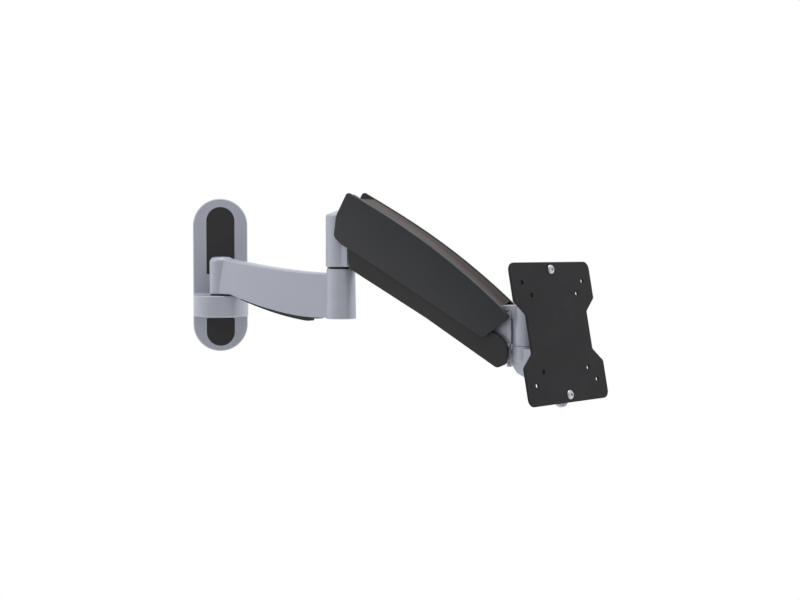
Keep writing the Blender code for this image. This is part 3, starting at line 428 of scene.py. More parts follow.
# ---------------------------------------------------------------- wall plate
def make_wall_side():
    half = PLATE_HEIGHT / 2.0
    plate = prism("wall_plate", WALL, "silver_paint", stadium(PLATE_WIDTH, -half, half, steps=56),
                  -PLATE_DEPTH, 0.0, edge=1.8, steps=5)
    side = PLATE_WIDTH / 2.0 - 0.05
    plan = [(side, -4.0), (-side, -4.0)] + arc((0.0, -COLLAR_CENTRE), side, 180.0, 360.0, 60)
    fuse(plate, prism("collar", WALL, None, plan, COLLAR_BOTTOM, COLLAR_TOP, "Z", 1.5, 4))
    slope = [(-11.0, COLLAR_TOP + 2.3), (-12.0, COLLAR_TOP + 2.3), (-15.5, COLLAR_TOP + 0.2),
             (-15.5, COLLAR_TOP - 0.8), (-11.0, COLLAR_TOP - 0.8)]
    fuse(plate, prism("collar_fillet", WALL, None, slope, -30.2, 30.2, "X"))
    face = -PLATE_DEPTH
    upper = stadium(RECESS_WIDTH, *UPPER_RECESS, round_low=False)
    lower = stadium(RECESS_WIDTH, *LOWER_RECESS, round_high=False)
    for name, outline in (("upper", upper), ("lower", lower)):
        cut(plate, prism(name + "_recess", WALL, None, outline, face - 2.0, face + RECESS_DEPTH))
    for height in LAG_HOLES:
        cut(plate, bar("lag_hole", WALL, None, 3.4, face - 1.0, 2.0, (0.0, height), "Y"))
        cut(plate, bar("lag_sink", WALL, None, 6.5, face - 1.0, -5.5, (0.0, height), "Y"))
    at = (0.0, -WALL_PIVOT)
    cut(plate, bar("pivot_bore", WALL, None, 7.0, COLLAR_BOTTOM - 2.0, COLLAR_TOP + 2.0, at))
    cut(plate, bar("pivot_well", WALL, None, 11.5, COLLAR_BOTTOM - 2.0, -39.5, at, sides=FINE))
    inset = 2.0 * GAP
    for name, (low, high), flat in (("upper_screw_cover", UPPER_RECESS, "round_low"),
                                    ("lower_screw_cover", LOWER_RECESS, "round_high")):
        outline = stadium(RECESS_WIDTH - inset, low + GAP, high - GAP, **{flat: False})
        prism(name, WALL, "black_plastic", outline, face + 0.3, face + RECESS_DEPTH - GAP, edge=0.5)


def bush(name, where, slot, inner, outer, low, high, flange, thick, at=(0.0, 0.0, 0.0)):
    """A flanged bush; its flange is at the top, or at the bottom if thick is negative."""
    if thick > 0.0:
        profile = [(flange, high), (flange, high - thick), (outer, high - thick), (outer, low), (inner, low),
                   (inner, high)]
    else:
        profile = [(outer, high), (outer, low - thick), (flange, low - thick), (flange, low), (inner, low),
                   (inner, high)]
    return lathe(name, where, slot, profile, at, sides=FINE, soft=0.12, ring=True)


def make_wall_pivot():
    at = (0.0, -WALL_PIVOT, 0.0)
    bush("wall_bush_upper", WALL, "nylon", 5.3, 6.7, -31.0, -21.5, 12.6, 1.4, at)
    bush("wall_bush_lower", WALL, "nylon", 5.3, 6.7, -41.8, -32.0, 9.0, -2.0, at)
    lathe("wall_friction_washer", ARM_1, "zinc_steel",
          [(8.6, -42.1), (8.6, -43.2), (5.3, -43.2), (5.3, -42.1)], soft=0.2, ring=True)
    bolt = lathe("wall_pivot_bolt", ARM_1, "zinc_steel",
                 [(0.0, -6.0), (4.6, -6.0), (5.0, -6.6), (5.0, -43.5), (8.4, -43.5), (8.4, -47.2),
                  (0.0, -47.2)], soft=0.25)
    cut(bolt, hexagon("bolt_socket", ARM_1, None, 3.4, -48.5, -44.6))


# ---------------------------------------------------------------- first arm
def arm_1_top(x):
    return 4.0 + 17.0 * (1.0 - min(x / 165.0, 1.0)) ** 1.65


def arm_1_foot(x):
    run = min(max((x - 23.0) / 116.0, 0.0), 1.0)
    return ARM_1_SEAT - 22.9 * (1.0 - (1.0 - run) ** 1.6)


def arm_1_ring(x):
    """The web's section: narrow along the top, wide along the underside near the wall."""
    top_half = 8.4
    foot_half = 12.6 - 3.6 * smooth_step(x / ARM_1_LENGTH)
    outline = rounded([(-foot_half, arm_1_foot(x), 1.2), (foot_half, arm_1_foot(x), 1.2),
                       (top_half, arm_1_top(x), 2.2), (-top_half, arm_1_top(x), 2.2)], 6)
    return [(x, across, height) for across, height in outline]


def cable_ring(x, half, rise, fall):
    """A section that follows the arm's underside, from rise above it to fall below it."""
    foot = arm_1_foot(x)
    outline = rounded([(-half, foot + fall, 0.5), (half, foot + fall, 0.5), (half, foot + rise, 0.1),
                       (-half, foot + rise, 0.1)], 4)
    return [(x, across, height) for across, height in outline]


def between(low, high, count):
    return [low + (high - low) * step / (count - 1) for step in range(count)]


def make_first_arm():
    stations = between(2.0, ARM_1_LENGTH - 4.0, 60)
    arm = loft("arm_1", ARM_1, "silver_paint", [arm_1_ring(x) for x in stations])
    dome = [(0.0, WALL_END_TOP)] + [
        (WALL_END_RADIUS - 6.0 + 6.0 * math.sin(math.radians(step)),
         WALL_END_TOP - 0.5 - 6.0 * (1.0 - math.cos(math.radians(step)))) for step in range(0, 91, 9)]
    wall_end = lathe("wall_end", ARM_1, None,
                     dome + [(WALL_END_RADIUS, ARM_1_SEAT + 0.8), (WALL_END_RADIUS - 0.25, ARM_1_SEAT + 0.25),
                             (WALL_END_RADIUS - 0.8, ARM_1_SEAT), (0.0, ARM_1_SEAT)], sides=FINE)
    top, foot, rim = ELBOW_SEAT, ELBOW_FOOT, ELBOW_RADIUS
    elbow = lathe("elbow", ARM_1, None,
                  [(0.0, top), (rim - 0.7, top), (rim - 0.2, top - 0.2), (rim, top - 0.7),
                   (rim + 0.9, foot + 1.0), (rim + 0.6, foot + 0.3), (rim, foot), (0.0, foot)],
                  (ARM_1_LENGTH, 0.0, 0.0), sides=FINE)
    fuse(arm, wall_end, elbow)
    cut(arm, bar("blind_bore", ARM_1, None, 5.4, ARM_1_SEAT - 3.0, -5.0))
    at = (ARM_1_LENGTH, 0.0)
    cut(arm, bar("elbow_bore", ARM_1, None, 8.3, ELBOW_FOOT - 3.0, ELBOW_SEAT + 3.0, at))
    cut(arm, bar("elbow_well", ARM_1, None, 12.0, ELBOW_FOOT - 3.0, -30.0, at, sides=FINE))
    start, stop, half = 34.0, 131.0, 6.6
    groove = [cable_ring(x, half, 2.4, -8.0) for x in between(start, stop, 30)]
    cut(arm, loft("cable_groove", ARM_1, None, groove))
    cut(arm, box("clip_recess", ARM_1, None, (132.6, 145.4), (-5.6, 5.6), (-60.0, -42.2)))
    start, stop = start + GAP, stop - GAP
    cover = []
    for x in between(start, stop, 34):
        fall = -2.6 - 2.0 * (x - start) / (stop - start)
        cover.append(cable_ring(x, half - GAP, 2.0, fall))
    loft("cable_cover", ARM_1, "black_plastic", cover)
    box("cable_clip", ARM_1, "black_plastic", (133.0, 145.0), (-5.2, 5.2), (-45.6, -42.6), 0.6)
    at = (ARM_1_LENGTH, 0.0, 0.0)
    bush("elbow_bush_upper", ARM_1, "nylon", 6.3, 8.0, -6.0, 10.8, 14.6, 1.8, at)
    bush("elbow_bush_lower", ARM_1, "nylon", 6.3, 8.0, -32.2, -18.0, 11.0, -1.9, at)
    lathe("elbow_cap", ARM_1, "silver_paint", [(0.0, -42.4), (11.7, -42.4), (11.7, -44.9), (0.0, -44.9)], at,
          sides=FINE, soft=0.5)


# ---------------------------------------------------------------- base of the second arm
def make_base():
    dome = [(0.0, BASE_TOP), (14.3, 67.7), (15.0, 67.4), (15.5, 67.0), (15.85, 66.5), (16.1, 65.9),
            (16.25, 65.3), (BASE_RADIUS, 64.6)]
    base = lathe("arm_2_base", BASE, "silver_paint",
                 dome + [(BASE_RADIUS, BASE_SEAT + 0.7), (BASE_RADIUS - 0.2, BASE_SEAT + 0.2),
                         (BASE_RADIUS - 0.7, BASE_SEAT), (0.0, BASE_SEAT)], sides=FINE)
    lug = capsule((PIVOT_X, PIVOT_TOP - PIVOT_DROP), (PIVOT_X, PIVOT_TOP), 7.5, 7.49)
    fuse(base, prism("lug", BASE, None, lug, -LUG_HALF, LUG_HALF, edge=0.4))
    fuse(base, box("lug_root", BASE, None, (6.0, PIVOT_X + 1.0), (-LUG_HALF + 0.4, LUG_HALF - 0.4),
                   (PIVOT_TOP - PIVOT_DROP - 7.0, PIVOT_TOP + 7.0)))
    fuse(base, box("neck", BASE, None, (2.0, 16.5), (-13.6, 13.6), (BASE_SEAT + 0.3, 62.0), 1.0))
    cut(base, bar("shaft_bore", BASE, None, 6.2, BASE_SEAT - 3.0, 46.0))
    slot = PIVOT_TOP + SPRING_PIN[1]
    cut(base, box("spring_slot", BASE, None, (PIVOT_X - 5.0, PIVOT_X + 20.0), (-5.2, 5.2),
                  (slot - 8.2, slot + 8.2)))
    for height in (PIVOT_TOP, PIVOT_TOP - PIVOT_DROP):
        cut(base, bar("lug_bore", BASE, None, PIVOT_BORE, -14.0, 14.0, (PIVOT_X, height), "Y"))
    cut(base, bar("anchor_bore", BASE, None, 2.3, -14.0, 14.0, (PIVOT_X + SPRING_PIN[0], slot), "Y"))
    lathe("elbow_shaft", BASE, "zinc_steel",
          [(0.0, 45.5), (5.9, 45.5), (5.9, -34.0), (4.9, -34.5), (4.9, -41.9), (0.0, -41.9)], soft=0.3)
    lathe("elbow_washer", BASE, "zinc_steel", [(10.0, -32.5), (10.0, -34.0), (6.2, -34.0), (6.2, -32.5)],
          soft=0.2, ring=True)
    nut = hexagon("elbow_nut", BASE, "zinc_steel", 9.4, -40.6, -34.8, edge=0.5)
    cut(nut, bar("nut_bore", BASE, None, 5.2, -44.0, -30.0))
    for name, height in (("rear_upper_bush", PIVOT_TOP), ("rear_lower_bush", PIVOT_TOP - PIVOT_DROP)):
        pivot_bush(name, BASE, (PIVOT_X, height))
    cross_pin("spring_anchor_pin", BASE, 2.0, 9.8, (PIVOT_X + SPRING_PIN[0], slot))


def pivot_bush(name, where, at):
    outer = PIVOT_BORE - GAP
    section = [(outer, LUG_HALF), (outer, -LUG_HALF), (PIN_HOLE, -LUG_HALF), (PIN_HOLE, LUG_HALF)]
    lathe(name, where, "nylon", section, (at[0], 0.0, at[1]), "Y", soft=0.15, ring=True)


def cross_pin(name, where, radius, half, at):
    lathe(name, where, "zinc_steel", [(0.0, half), (radius, half), (radius, -half), (0.0, -half)],
          (at[0], 0.0, at[1]), "Y", soft=0.5)


# ---------------------------------------------------------------- upper arm
def cover_top(x):
    """Height of the upper covers' top edge: a long crown that falls away towards the head."""
    return 28.1 - (0.00065 if x > 36.0 else 0.00025) * (x - 36.0) ** 2


def upper_cover_outline(rear_x):
    """Side view of an upper cover, from the top rear corner along the top edge and back."""
    top = [(x, cover_top(x)) for x in between(8.0, 188.0, 46)]
    tip = rounded([(188.0, cover_top(188.0), 0.0), (206.4, cover_top(204.0) - 0.7, 3.2),
                   (190.6, -24.6, 7.0), (120.0, -24.2, 0.0)], 10)
    rear = rounded([(20.0, -24.2, 0.0), (-1.0, -25.2, 8.0), (-14.0, -22.4, 7.0), (rear_x, -1.0, 20.0),
                    (rear_x, 27.2, 4.0), (0.0, cover_top(0.0), 0.0)], 10)
    return rear + top + tip[1:]


def lip_ring(x):
    """The flat lip along the near cover's top edge, a little below it."""
    near, far, thick = -17.5, -12.6, 1.0
    height = cover_top(x) - 0.15
    section = rounded([(near, height - thick, 0.2), (far, height - thick, 0.2), (far, height, 0.4),
                       (near, height, 0.4)], 3)
    return [(x, across, z) for across, z in section]


def strip_ring(x):
    """The strip between the covers: flat, then rising to a flange along the far cover."""
    near, slope, flange, far = -12.3, 10.6, 15.4, 16.5
    height = cover_top(x) - 1.2 - 0.021 * x
    rim = cover_top(x) - 0.85
    section = rounded([(near, height - 1.6, 0.2), (far, height - 1.6, 0.2), (far, rim, 0.2),
                       (flange, rim, 0.1), (slope, height, 0.1), (near, height, 0.3)], 3)
    return [(x, across, z) for across, z in section]


def make_upper_arm():
    front = LINK_LENGTH + 7.0
    outline = rounded([(-8.0, -8.0, 7.9), (front, -7.0, 6.9), (front, 5.0, 4.9), (front - 10.0, 6.4, 3.0),
                       (130.0, 16.0, 3.0), (10.0, 16.0, 3.0), (-8.0, 8.0, 7.9)], 8)
    beam = prism("upper_beam", BEAM, "black_steel", outline, -RAIL_OUTER, RAIL_OUTER, edge=0.8)
    inside = (-RAIL_INNER, RAIL_INNER)
    cut(beam, box("beam_inside", BEAM, None, (-20.0, LINK_LENGTH + 20.0), inside, (-20.0, 13.2)))
    for low, high in ((-20.0, 8.0), (LINK_LENGTH - 12.0, LINK_LENGTH + 20.0)):
        cut(beam, box("beam_end", BEAM, None, (low, high), inside, (5.0, 30.0)))
    for x in (0.0, LINK_LENGTH):
        cut(beam, bar("beam_bore", BEAM, None, PIN_HOLE, -20.0, 20.0, (x, 0.0), "Y"))
    cut(beam, bar("spring_bore", BEAM, None, 2.8, -20.0, 20.0, SPRING_FRONT, "Y"))
    inner, outer = UPPER_SKIN
    for name, side, rear_x in (("far", 1.0, -25.2), ("near", -1.0, -22.2)):
        outline = upper_cover_outline(rear_x)
        faces = sorted((side * inner, side * outer))
        panel = prism("upper_cover_" + name, BEAM, "cover_plastic", outline, *faces, edge=0.9, steps=4)
        reach = sorted((side * (RAIL_OUTER + GAP), side * (inner + 1.0)))
        for x, z in ((22.0, 6.0), (92.0, 6.0), (160.0, 3.0)):
            fuse(panel, bar("cover_boss", BEAM, None, 4.0, *reach, (x, z), "Y"))
        if name == "near":
            fuse(panel, loft("cover_lip", BEAM, None, [lip_ring(x) for x in between(-16.0, 198.0, 56)]))
    loft("top_strip", BEAM, "strip_plastic", [strip_ring(x) for x in between(-8.0, 184.0, 50)])
    cross_pin("rear_upper_pin", BEAM, PIN_RADIUS, 16.4, (0.0, 0.0))
    cross_pin("front_upper_pin", BEAM, PIN_RADIUS, 13.8, (LINK_LENGTH, 0.0))
    cross_pin("spring_front_pin", BEAM, 2.5, 13.2, SPRING_FRONT)


def make_spring():
    """A gas spring: its tube is pinned to the beam near the head, its rod to the base."""
    slope = math.radians(ARM_2_SLOPE)
    rear_x = SPRING_PIN[0] * math.cos(slope) - SPRING_PIN[1] * math.sin(slope)
    rear_z = SPRING_PIN[0] * math.sin(slope) + SPRING_PIN[1] * math.cos(slope)
    run, rise = SPRING_FRONT[0] - rear_x, SPRING_FRONT[1] - rear_z
    lean = math.degrees(math.atan2(rise, run))
    where = BEAM @ placed((SPRING_FRONT[0], 0.0, SPRING_FRONT[1]), (0.0, -lean, 0.0))
    rear = -math.hypot(run, rise)
    lathe("spring_tube", where, "spring_paint",
          [(0.0, -12.0), (7.0, -12.0), (SPRING_RADIUS, -13.5), (SPRING_RADIUS, -78.0), (7.2, -80.0),
           (4.6, -80.0), (4.6, -16.0), (0.0, -16.0)], axis="X", sides=FINE)
    eye = prism("spring_tube_eye", where, "zinc_steel", capsule((-5.6, 0.0), (0.0, 0.0), 5.0, 4.99),
                -4.5, 4.5, edge=0.5)
    fuse(eye, bar("eye_stem", where, None, 3.0, -11.7, -6.0, axis="X"))
    cut(eye, bar("eye_bore", where, None, 2.8, -9.0, 9.0, axis="Y"))
    lathe("spring_rod", where, "zinc_steel",
          [(0.0, -30.0), (3.9, -30.0), (3.9, -36.0), (3.0, -36.0), (3.0, rear + 10.3), (0.0, rear + 10.3)],
          axis="X", soft=0.3)
    eye = prism("spring_rod_eye", where, "zinc_steel", capsule((rear, 0.0), (rear + 6.4, 0.0), 4.8, 3.9),
                -4.6, 4.6, edge=0.5)
    cut(eye, bar("rod_eye_bore", where, None, 3.3, -9.0, 9.0, (rear, 0.0), "Y"))


# ---------------------------------------------------------------- lower arm
def lower_cover_outline():
    """Side view of the lower cover: straight underside, round nose at the head end."""
    return rounded([(-8.6, 6.0, 4.0), (-8.2, -2.5, 5.0), (4.8, -19.0, 4.0), (110.0, -17.2, 0.0),
                    (203.6, -19.6, 6.0), (211.2, -9.6, 6.0), (203.4, 6.2, 7.0), (190.0, 10.8, 8.0),
                    (176.0, 9.0, 6.0), (150.0, 0.0, 10.0), (30.0, 0.0, 10.0), (8.0, 8.0, 6.0)], 10)


def make_lower_arm():
    outline = capsule((0.0, 0.0), (LINK_LENGTH, 0.0), 7.0, 6.99)
    link = prism("lower_link", LINK, "black_steel", outline, -RAIL_OUTER, RAIL_OUTER, edge=0.6)
    inside = (-RAIL_INNER, RAIL_INNER)
    cut(link, box("link_inside", LINK, None, (-20.0, LINK_LENGTH + 20.0), inside, (-4.6, 20.0)))
    for low, high in ((-20.0, 13.0), (LINK_LENGTH - 13.0, LINK_LENGTH + 20.0)):
        cut(link, box("link_end", LINK, None, (low, high), inside, (-20.0, 0.0)))
    for x in (0.0, LINK_LENGTH):
        cut(link, bar("link_bore", LINK, None, PIN_HOLE, -20.0, 20.0, (x, 0.0), "Y"))
    inner, outer = LOWER_SKIN
    cover = prism("lower_cover", LINK, "cover_plastic", lower_cover_outline(), -outer, outer, edge=1.0,
                  steps=4)
    hollow = (-inner, inner)
    cut(cover, box("cover_inside", LINK, None, (-30.0, LINK_LENGTH + 40.0), hollow, (-15.6, 40.0)))
    cut(cover, box("cover_rear", LINK, None, (-30.0, 12.0), hollow, (-40.0, 0.0)))
    cut(cover, box("cover_front", LINK, None, (LINK_LENGTH - 10.0, LINK_LENGTH + 40.0), hollow, (-40.0, 0.0)))
    for x in (50.0, 140.0):
        fuse(cover, bar("cover_post", LINK, None, 3.4, -17.0, -7.0 - GAP, (x, 0.0)))
    cross_pin("rear_lower_pin", LINK, PIN_RADIUS, 13.8, (0.0, 0.0))
    cross_pin("front_lower_pin", LINK, PIN_RADIUS, 13.8, (LINK_LENGTH, 0.0))


# ---------------------------------------------------------------- end link and head
def make_end_link():
    outline = rounded([(-7.6, 7.6, 7.5), (-7.6, -PIVOT_DROP - 7.6, 7.5), (7.6, -PIVOT_DROP - 7.6, 7.5),
                       (10.0, -27.0, 1.0), (HEAD_REACH + 1.0, -27.0, 0.0), (HEAD_REACH + 1.0, -1.5, 0.0),
                       (7.6, -1.5, 1.0), (7.6, 7.6, 7.5)], 10)
    link = prism("end_link", END, "silver_paint", outline, -LUG_HALF, LUG_HALF, edge=0.8)
    for side in (-1.0, 1.0):
        across = sorted((side * 5.6, side * 14.0))
        cut(link, box("web_groove", END, None, (14.4, 19.5), across, (-40.0, 10.0)))
    foot = HEAD_SEAT + SEAM
    barrel = lathe("barrel", END, None,
                   [(0.0, HEAD_TOP), (HEAD_RADIUS - 1.2, HEAD_TOP), (HEAD_RADIUS - 0.35, HEAD_TOP - 0.35),
                    (HEAD_RADIUS, HEAD_TOP - 1.2), (HEAD_RADIUS, foot + 0.9),
                    (HEAD_RADIUS - 0.5, foot + GAP), (11.2, foot + GAP), (11.2, foot + 1.5),
                    (0.0, foot + 1.5)], (HEAD_REACH, 0.0, 0.0), sides=FINE)
    neck = rounded([(3.5, HEAD_TOP - 0.6, 0.8), (3.5, 8.9, 0.6), (12.5, 7.6, 3.0), (17.2, -3.0, 6.0),
                    (20.0, -18.0, 6.0), (HEAD_REACH + 2.0, -22.0, 0.0),
                    (HEAD_REACH + 2.0, HEAD_TOP - 0.6, 0.0)], 8)
    fuse(link, barrel, prism("neck", END, None, neck, -11.0, 11.0, edge=0.3))
    at = (HEAD_REACH, 0.0)
    cut(link, bar("head_bore", END, None, 6.6, HEAD_SEAT - 3.0, HEAD_TOP + 3.0, at))
    cut(link, bar("head_well", END, None, 10.0, HEAD_TOP - 11.0, HEAD_TOP + 3.0, at, sides=FINE))
    for height in (0.0, -PIVOT_DROP):
        cut(link, bar("front_bore", END, None, PIVOT_BORE, -14.0, 14.0, (0.0, height), "Y"))
    cut(link, bar("stop_bore", END, None, 2.2, -40.0, -16.0, (8.2, 0.0)))
    pivot_bush("front_upper_bush", END, (0.0, 0.0))
    pivot_bush("front_lower_bush", END, (0.0, -PIVOT_DROP))
    lathe("swivel_stop_screw", END, "zinc_steel",
          [(0.0, -17.0), (1.9, -17.0), (1.9, -46.5), (3.0, -46.5), (3.0, -50.7), (0.0, -50.7)],
          (8.2, 0.0, 0.0), soft=0.2)
    at = (HEAD_REACH, 0.0, 0.0)
    bush("head_bush", END, "nylon", 5.3, 6.3, foot + 0.2, HEAD_TOP - 11.5, 10.8, -1.0, at)
    lathe("head_cap", END, "silver_paint",
          [(0.0, HEAD_TOP - 0.4), (9.7, HEAD_TOP - 0.4), (9.7, HEAD_TOP - 2.4), (0.0, HEAD_TOP - 2.4)], at,
          sides=FINE, soft=0.4)


def make_head_fork():
    tilt_x, tilt_z = TILT_AXIS
    rim = HEAD_RADIUS
    bracket = lathe("swivel_bracket", SWIVEL, "silver_paint",
                    [(0.0, SEAM), (rim - 0.6, SEAM), (rim - 0.17, SEAM - 0.17), (rim, SEAM - 0.6),
                     (rim, -12.0), (rim - 3.5, -17.5), (0.0, -17.5)], sides=FINE)
    cheek = rounded([(-2.0, -0.4, 0.0), (tilt_x + 10.0, -0.4, 6.0), (tilt_x + 16.0, tilt_z + 2.0, 10.0),
                     (tilt_x + 13.0, tilt_z - 16.0, 14.0), (12.0, -31.0, 12.0),
                     (-2.4, -25.0, 5.0), (-9.2, -16.8, 3.0), (-9.2, -6.0, 4.0)], 10)
    fuse(bracket, prism("cheek", SWIVEL, None, cheek, -11.4, 11.4, edge=0.9))
    cut(bracket, box("clevis_slot", SWIVEL, None, (tilt_x - 11.0, tilt_x + 30.0), (-7.0, 7.0),
                     (tilt_z - 30.0, tilt_z + 11.0)))
    cut(bracket, box("neck_slot", SWIVEL, None, (tilt_x - 3.5, tilt_x + 30.0), (-7.0, 7.0), (tilt_z, 20.0)))
    cut(bracket, bar("tilt_bore", SWIVEL, None, 3.3, -20.0, 20.0, (tilt_x, tilt_z), "Y"))
    cut(bracket, bar("pin_bore", SWIVEL, None, 5.0, -30.0, 8.0))
    top = HEAD_TOP - HEAD_SEAT
    lathe("head_pin", SWIVEL, "zinc_steel",
          [(0.0, top - 3.6), (4.2, top - 3.6), (4.2, top - 10.9), (4.9, top - 11.2), (4.9, 1.0), (4.7, 0.4),
           (4.7, -16.4), (0.0, -16.4)])
    lathe("head_washer", SWIVEL, "zinc_steel",
          [(8.6, top - 9.4), (8.6, top - 10.6), (4.5, top - 10.6), (4.5, top - 9.4)], soft=0.2, ring=True)
    nut = hexagon("head_nut", SWIVEL, "zinc_steel", 7.6, top - 9.1, top - 4.2, edge=0.4)
    cut(nut, bar("head_nut_bore", SWIVEL, None, 4.5, top - 14.0, top))
    at = (tilt_x, 0.0, tilt_z)
    bolt = lathe("tilt_bolt", SWIVEL, "zinc_steel",
                 [(0.0, 14.6), (3.0, 14.6), (3.0, -11.7), (5.6, -11.7), (5.6, -14.8), (0.0, -14.8)], at, "Y",
                 soft=0.3)
    cut(bolt, hexagon("tilt_socket", SWIVEL, None, 2.6, -17.0, -12.8, (tilt_x, tilt_z), "Y"))
    nut = hexagon("tilt_nut", SWIVEL, "zinc_steel", 5.6, 11.8, 14.4, (tilt_x, tilt_z), "Y", edge=0.3)
    cut(nut, bar("tilt_nut_bore", SWIVEL, None, 3.3, 5.0, 20.0, (tilt_x, tilt_z), "Y"))


def make_tilt_head():
    knuckle = lathe("tilt_knuckle", TILT, "silver_paint",
                    [(0.0, 6.6), (10.4, 6.6), (10.4, -6.6), (0.0, -6.6)], axis="Y", sides=FINE, soft=0.5)
    rise = DISPLAY_RISE
    arm = rounded([(1.5, -4.0, 0.0), (6.0, -4.0, 0.0), (9.0, 9.0, 5.0), (13.0, rise - 14.0, 2.0),
                   (13.0, rise + 8.0, 2.0), (6.5, rise + 8.0, 3.0), (3.5, rise - 8.0, 8.0)], 8)
    fuse(knuckle, prism("knuckle_arm", TILT, None, arm, -6.6, 6.6, edge=0.6))
    fuse(knuckle, bar("turn_seat", TILT, None, 13.0, 11.8, 15.3, (0.0, rise), "X", sides=FINE))
    cut(knuckle, bar("knuckle_bore", TILT, None, 3.4, -12.0, 12.0, axis="Y"))
    cut(knuckle, bar("turn_bore", TILT, None, 4.3, 5.0, 20.0, (0.0, rise), "X"))
    at = (0.0, 0.0, rise)
    bolt = lathe("turn_bolt", TILT, "zinc_steel",
                 [(0.0, 24.8), (6.8, 24.8), (6.8, 21.3), (4.0, 21.3), (4.0, 6.5), (0.0, 6.5)], at, "X",
                 soft=0.4)
    cut(bolt, hexagon("turn_socket", TILT, None, 3.0, 22.6, 27.0, (0.0, rise), "X"))
    lathe("turn_washer", TILT, "nylon", [(12.0, 16.6), (12.0, 15.6), (4.3, 15.6), (4.3, 16.6)], at, "X",
          sides=FINE, soft=0.2, ring=True)


# ---------------------------------------------------------------- display plate
def display_outline():
    """The display plate: a rectangle with a shallow waist cut into each side."""
    half_w, half_h = VESA_WIDTH / 2.0, VESA_HEIGHT / 2.0
    waist = 50.0
    right = [(half_w, -half_h, 8.0), (half_w, -32.0, 3.0), (waist, -19.0, 3.0), (waist, 19.0, 3.0),
             (half_w, 32.0, 3.0), (half_w, half_h, 8.0)]
    left = [(-x, y, radius) for x, y, radius in reversed(right)]
    return rounded(right + left, 10)


def make_display_plate():
    plate = prism("vesa_plate", DISPLAY, "black_steel", display_outline(), -VESA_THICK, 0.0, "X", edge=0.5)
    for pattern in VESA_PATTERNS:
        for across in (-pattern / 2.0, pattern / 2.0):
            for up in (-pattern / 2.0, pattern / 2.0):
                cut(plate, bar("vesa_hole", DISPLAY, None, 2.5, -9.0, 5.0, (across, up), "X"))
    # painted shade: a thin dark web inside each of these holes stands for the dark seen through them
    for across, up in DARK_HOLES:
        fuse(plate, bar("hole_web", DISPLAY, None, 2.8, -1.7, -1.2, (across, up), "X"))
    back = 16.9 - DISPLAY_OUT
    front = back + 4.0
    outline = capsule((0.0, -SCREW_RISE), (0.0, SCREW_RISE), 11.0, 7.8, 24)
    strap = prism("plate_bar", DISPLAY, "silver_paint", outline, back, front, "X", edge=0.7)
    fuse(strap, bar("bar_hub", DISPLAY, None, 15.0, back + 0.3, front - 0.3, axis="X", sides=FINE))
    cut(strap, bar("bar_bore", DISPLAY, None, 4.4, back - 5.0, front + 5.0, axis="X"))
    for name, up in (("upper", SCREW_RISE), ("lower", -SCREW_RISE)):
        for item, low, high in ((plate, -9.0, 5.0), (strap, back - 5.0, front + 5.0)):
            cut(item, bar("screw_hole", DISPLAY, None, 3.0, low, high, (0.0, up), "X"))
        at = (0.0, 0.0, up)
        lathe("plate_spacer_" + name, DISPLAY, "zinc_steel",
              [(5.5, -VESA_THICK - GAP), (5.5, front + GAP), (3.0, front + GAP), (3.0, -VESA_THICK - GAP)],
              at, "X", soft=0.2, ring=True)
        screw = lathe("plate_screw_" + name, DISPLAY, "zinc_steel",
                      [(0.0, 1.9), (1.8, 1.88), (3.0, 1.7), (3.9, 1.36), (4.4, 0.95), (4.7, GAP), (2.6, GAP),
                       (2.6, back - 0.8), (0.0, back - 0.8)], at, "X")
        cut(screw, hexagon("screw_socket", DISPLAY, None, 1.9, 0.6, 4.0, (0.0, up), "X"))


# ---------------------------------------------------------------- settling pieces on the frame
def settle_pieces():
    """Apply each piece's modifiers, place it in the row frame and let it stand for its CAD node."""
    body_of = {node: body for body, nodes in frame["record"]["behaviour"]["bodies"].items() for node in nodes}
    bpy.context.view_layer.update()
    graph = bpy.context.evaluated_depsgraph_get()
    shown = {}
    for name, (item, slot) in PIECES.items():
        mesh = bpy.data.meshes.new_from_object(item.evaluated_get(graph))
        mesh.transform(item.matrix_world)
        piece = bpy.data.objects.new("shown_" + name, mesh)
        bpy.context.scene.collection.objects.link(piece)
        mesh.materials.clear()
        # pieces in the copies table get their darker painted-shade copy of the material
        mesh.materials.append(MATERIALS[PAINTED_SHADE_COPIES.get(name, slot)])
        mesh.shade_smooth()
        mesh.set_sharp_from_angle(angle=math.radians(SHARP_ANGLE))
        flat = piece.modifiers.new("flat_faces", "WEIGHTED_NORMAL")
        flat.keep_sharp = True
        shown[name] = (piece, slot)
    bpy.context.view_layer.update()
    graph = bpy.context.evaluated_depsgraph_get()
    for name, (piece, slot) in shown.items():
        rough = piece.data
        piece.data = bpy.data.meshes.new_from_object(piece.evaluated_get(graph))
        piece.modifiers.clear()
        bpy.data.meshes.remove(rough)
        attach(piece, body_of[name])
        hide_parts(name)
    for item in [made for made, _ in PIECES.values()] + TOOLS:
        bpy.data.objects.remove(item, do_unlink=True)


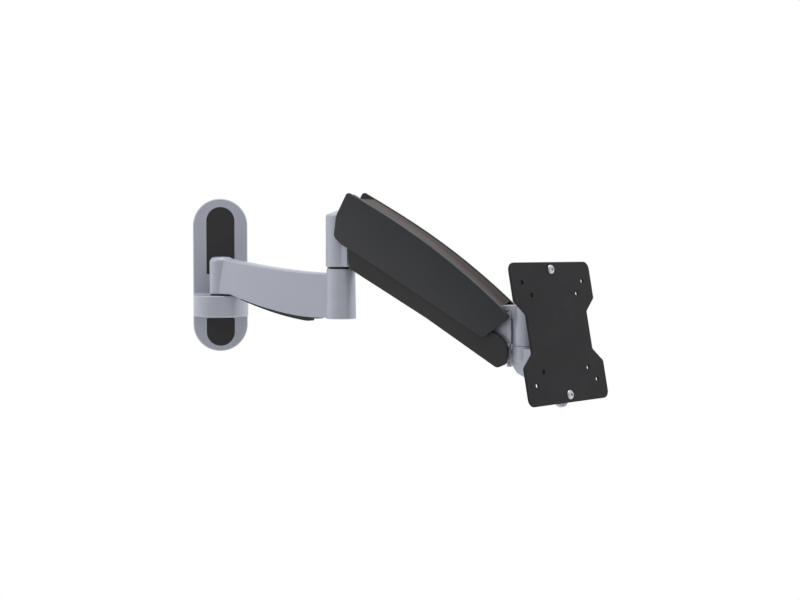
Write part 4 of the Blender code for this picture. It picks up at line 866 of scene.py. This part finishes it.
# ---------------------------------------------------------------- studio
def make_world():
    """Soft light all round, weaker from the front and the left; the camera sees plain white."""
    world = bpy.data.worlds.new("studio")
    bpy.context.scene.world = world
    world.use_nodes = True
    tree = world.node_tree
    tree.nodes.clear()
    output = tree.nodes.new("ShaderNodeOutputWorld")
    mix = tree.nodes.new("ShaderNodeMixShader")
    seen = tree.nodes.new("ShaderNodeLightPath")
    white = tree.nodes.new("ShaderNodeBackground")
    white.inputs["Color"].default_value = (1.0, 1.0, 1.0, 1.0)
    soft = tree.nodes.new("ShaderNodeBackground")
    place = tree.nodes.new("ShaderNodeTexCoord")
    toward = tree.nodes.new("ShaderNodeVectorMath")
    toward.operation = "DOT_PRODUCT"
    toward.inputs[1].default_value = (0.35, 1.0, 0.0)
    level = tree.nodes.new("ShaderNodeMapRange")
    level.inputs["From Min"].default_value = -1.0
    level.inputs["From Max"].default_value = 0.1
    level.inputs["To Min"].default_value = 0.50
    level.inputs["To Max"].default_value = 1.22
    tree.links.new(place.outputs["Generated"], toward.inputs[0])
    tree.links.new(toward.outputs["Value"], level.inputs["Value"])
    tree.links.new(level.outputs["Result"], soft.inputs["Strength"])
    tree.links.new(seen.outputs["Is Camera Ray"], mix.inputs[0])
    tree.links.new(soft.outputs[0], mix.inputs[1])
    tree.links.new(white.outputs[0], mix.inputs[2])
    tree.links.new(mix.outputs[0], output.inputs["Surface"])


def add_area(name, at, aim, size, power):
    """A square area light, its place, aim and side in metres and its power in watts."""
    light = bpy.data.lights.new(name, "AREA")
    light.shape = "RECTANGLE"
    light.size = size
    light.size_y = size
    light.energy = power
    item = bpy.data.objects.new(name, light)
    bpy.context.scene.collection.objects.link(item)
    item.location = at
    item.rotation_euler = (Vector(aim) - Vector(at)).to_track_quat("-Z", "Y").to_euler()


def make_floor():
    half_size, height = 1.8, -1.0
    bm = bmesh.new()
    bmesh.ops.create_grid(bm, x_segments=1, y_segments=1, size=half_size)
    mesh = bpy.data.meshes.new("floor")
    bm.to_mesh(mesh)
    bm.free()
    floor = bpy.data.objects.new("floor", mesh)
    bpy.context.scene.collection.objects.link(floor)
    floor.location = (0.1, -0.1, height)
    pale = Nodes("pale_floor")
    pale.feed(pale.shader, "Base Color", pale.blend(pale.noise(3.0), (0.84, 0.84, 0.84, 1.0),
                                                    (0.88, 0.88, 0.88, 1.0)))
    pale.feed(pale.shader, "Roughness", 0.9)
    mesh.materials.append(pale.material)


def make_camera():
    scene = bpy.context.scene
    camera = bpy.data.cameras.new("camera")
    camera.lens = 63.0
    camera.sensor_width = 36.0
    item = bpy.data.objects.new("camera", camera)
    scene.collection.objects.link(item)
    looks_down, looks_right = 2.05, 10.0
    item.location = (-0.0774, -1.6537, 0.0292)
    item.rotation_euler = (math.radians(90.0 - looks_down), 0.0, math.radians(-looks_right))
    scene.camera = item
    scene.view_settings.view_transform = "Standard"
    scene.view_settings.look = "None"


def make_studio():
    make_world()
    add_area("key", (-1.9, -0.5, 1.3), (0.1, -0.15, 0.0), 1.4, 6.5)
    add_area("top", (0.2, -0.3, 1.9), (0.15, -0.15, 0.0), 1.6, 12.0)
    make_floor()
    make_camera()


make_wall_side()
make_wall_pivot()
make_first_arm()
make_base()
make_upper_arm()
make_spring()
make_lower_arm()
make_end_link()
make_head_fork()
make_tilt_head()
make_display_plate()
settle_pieces()
make_studio()
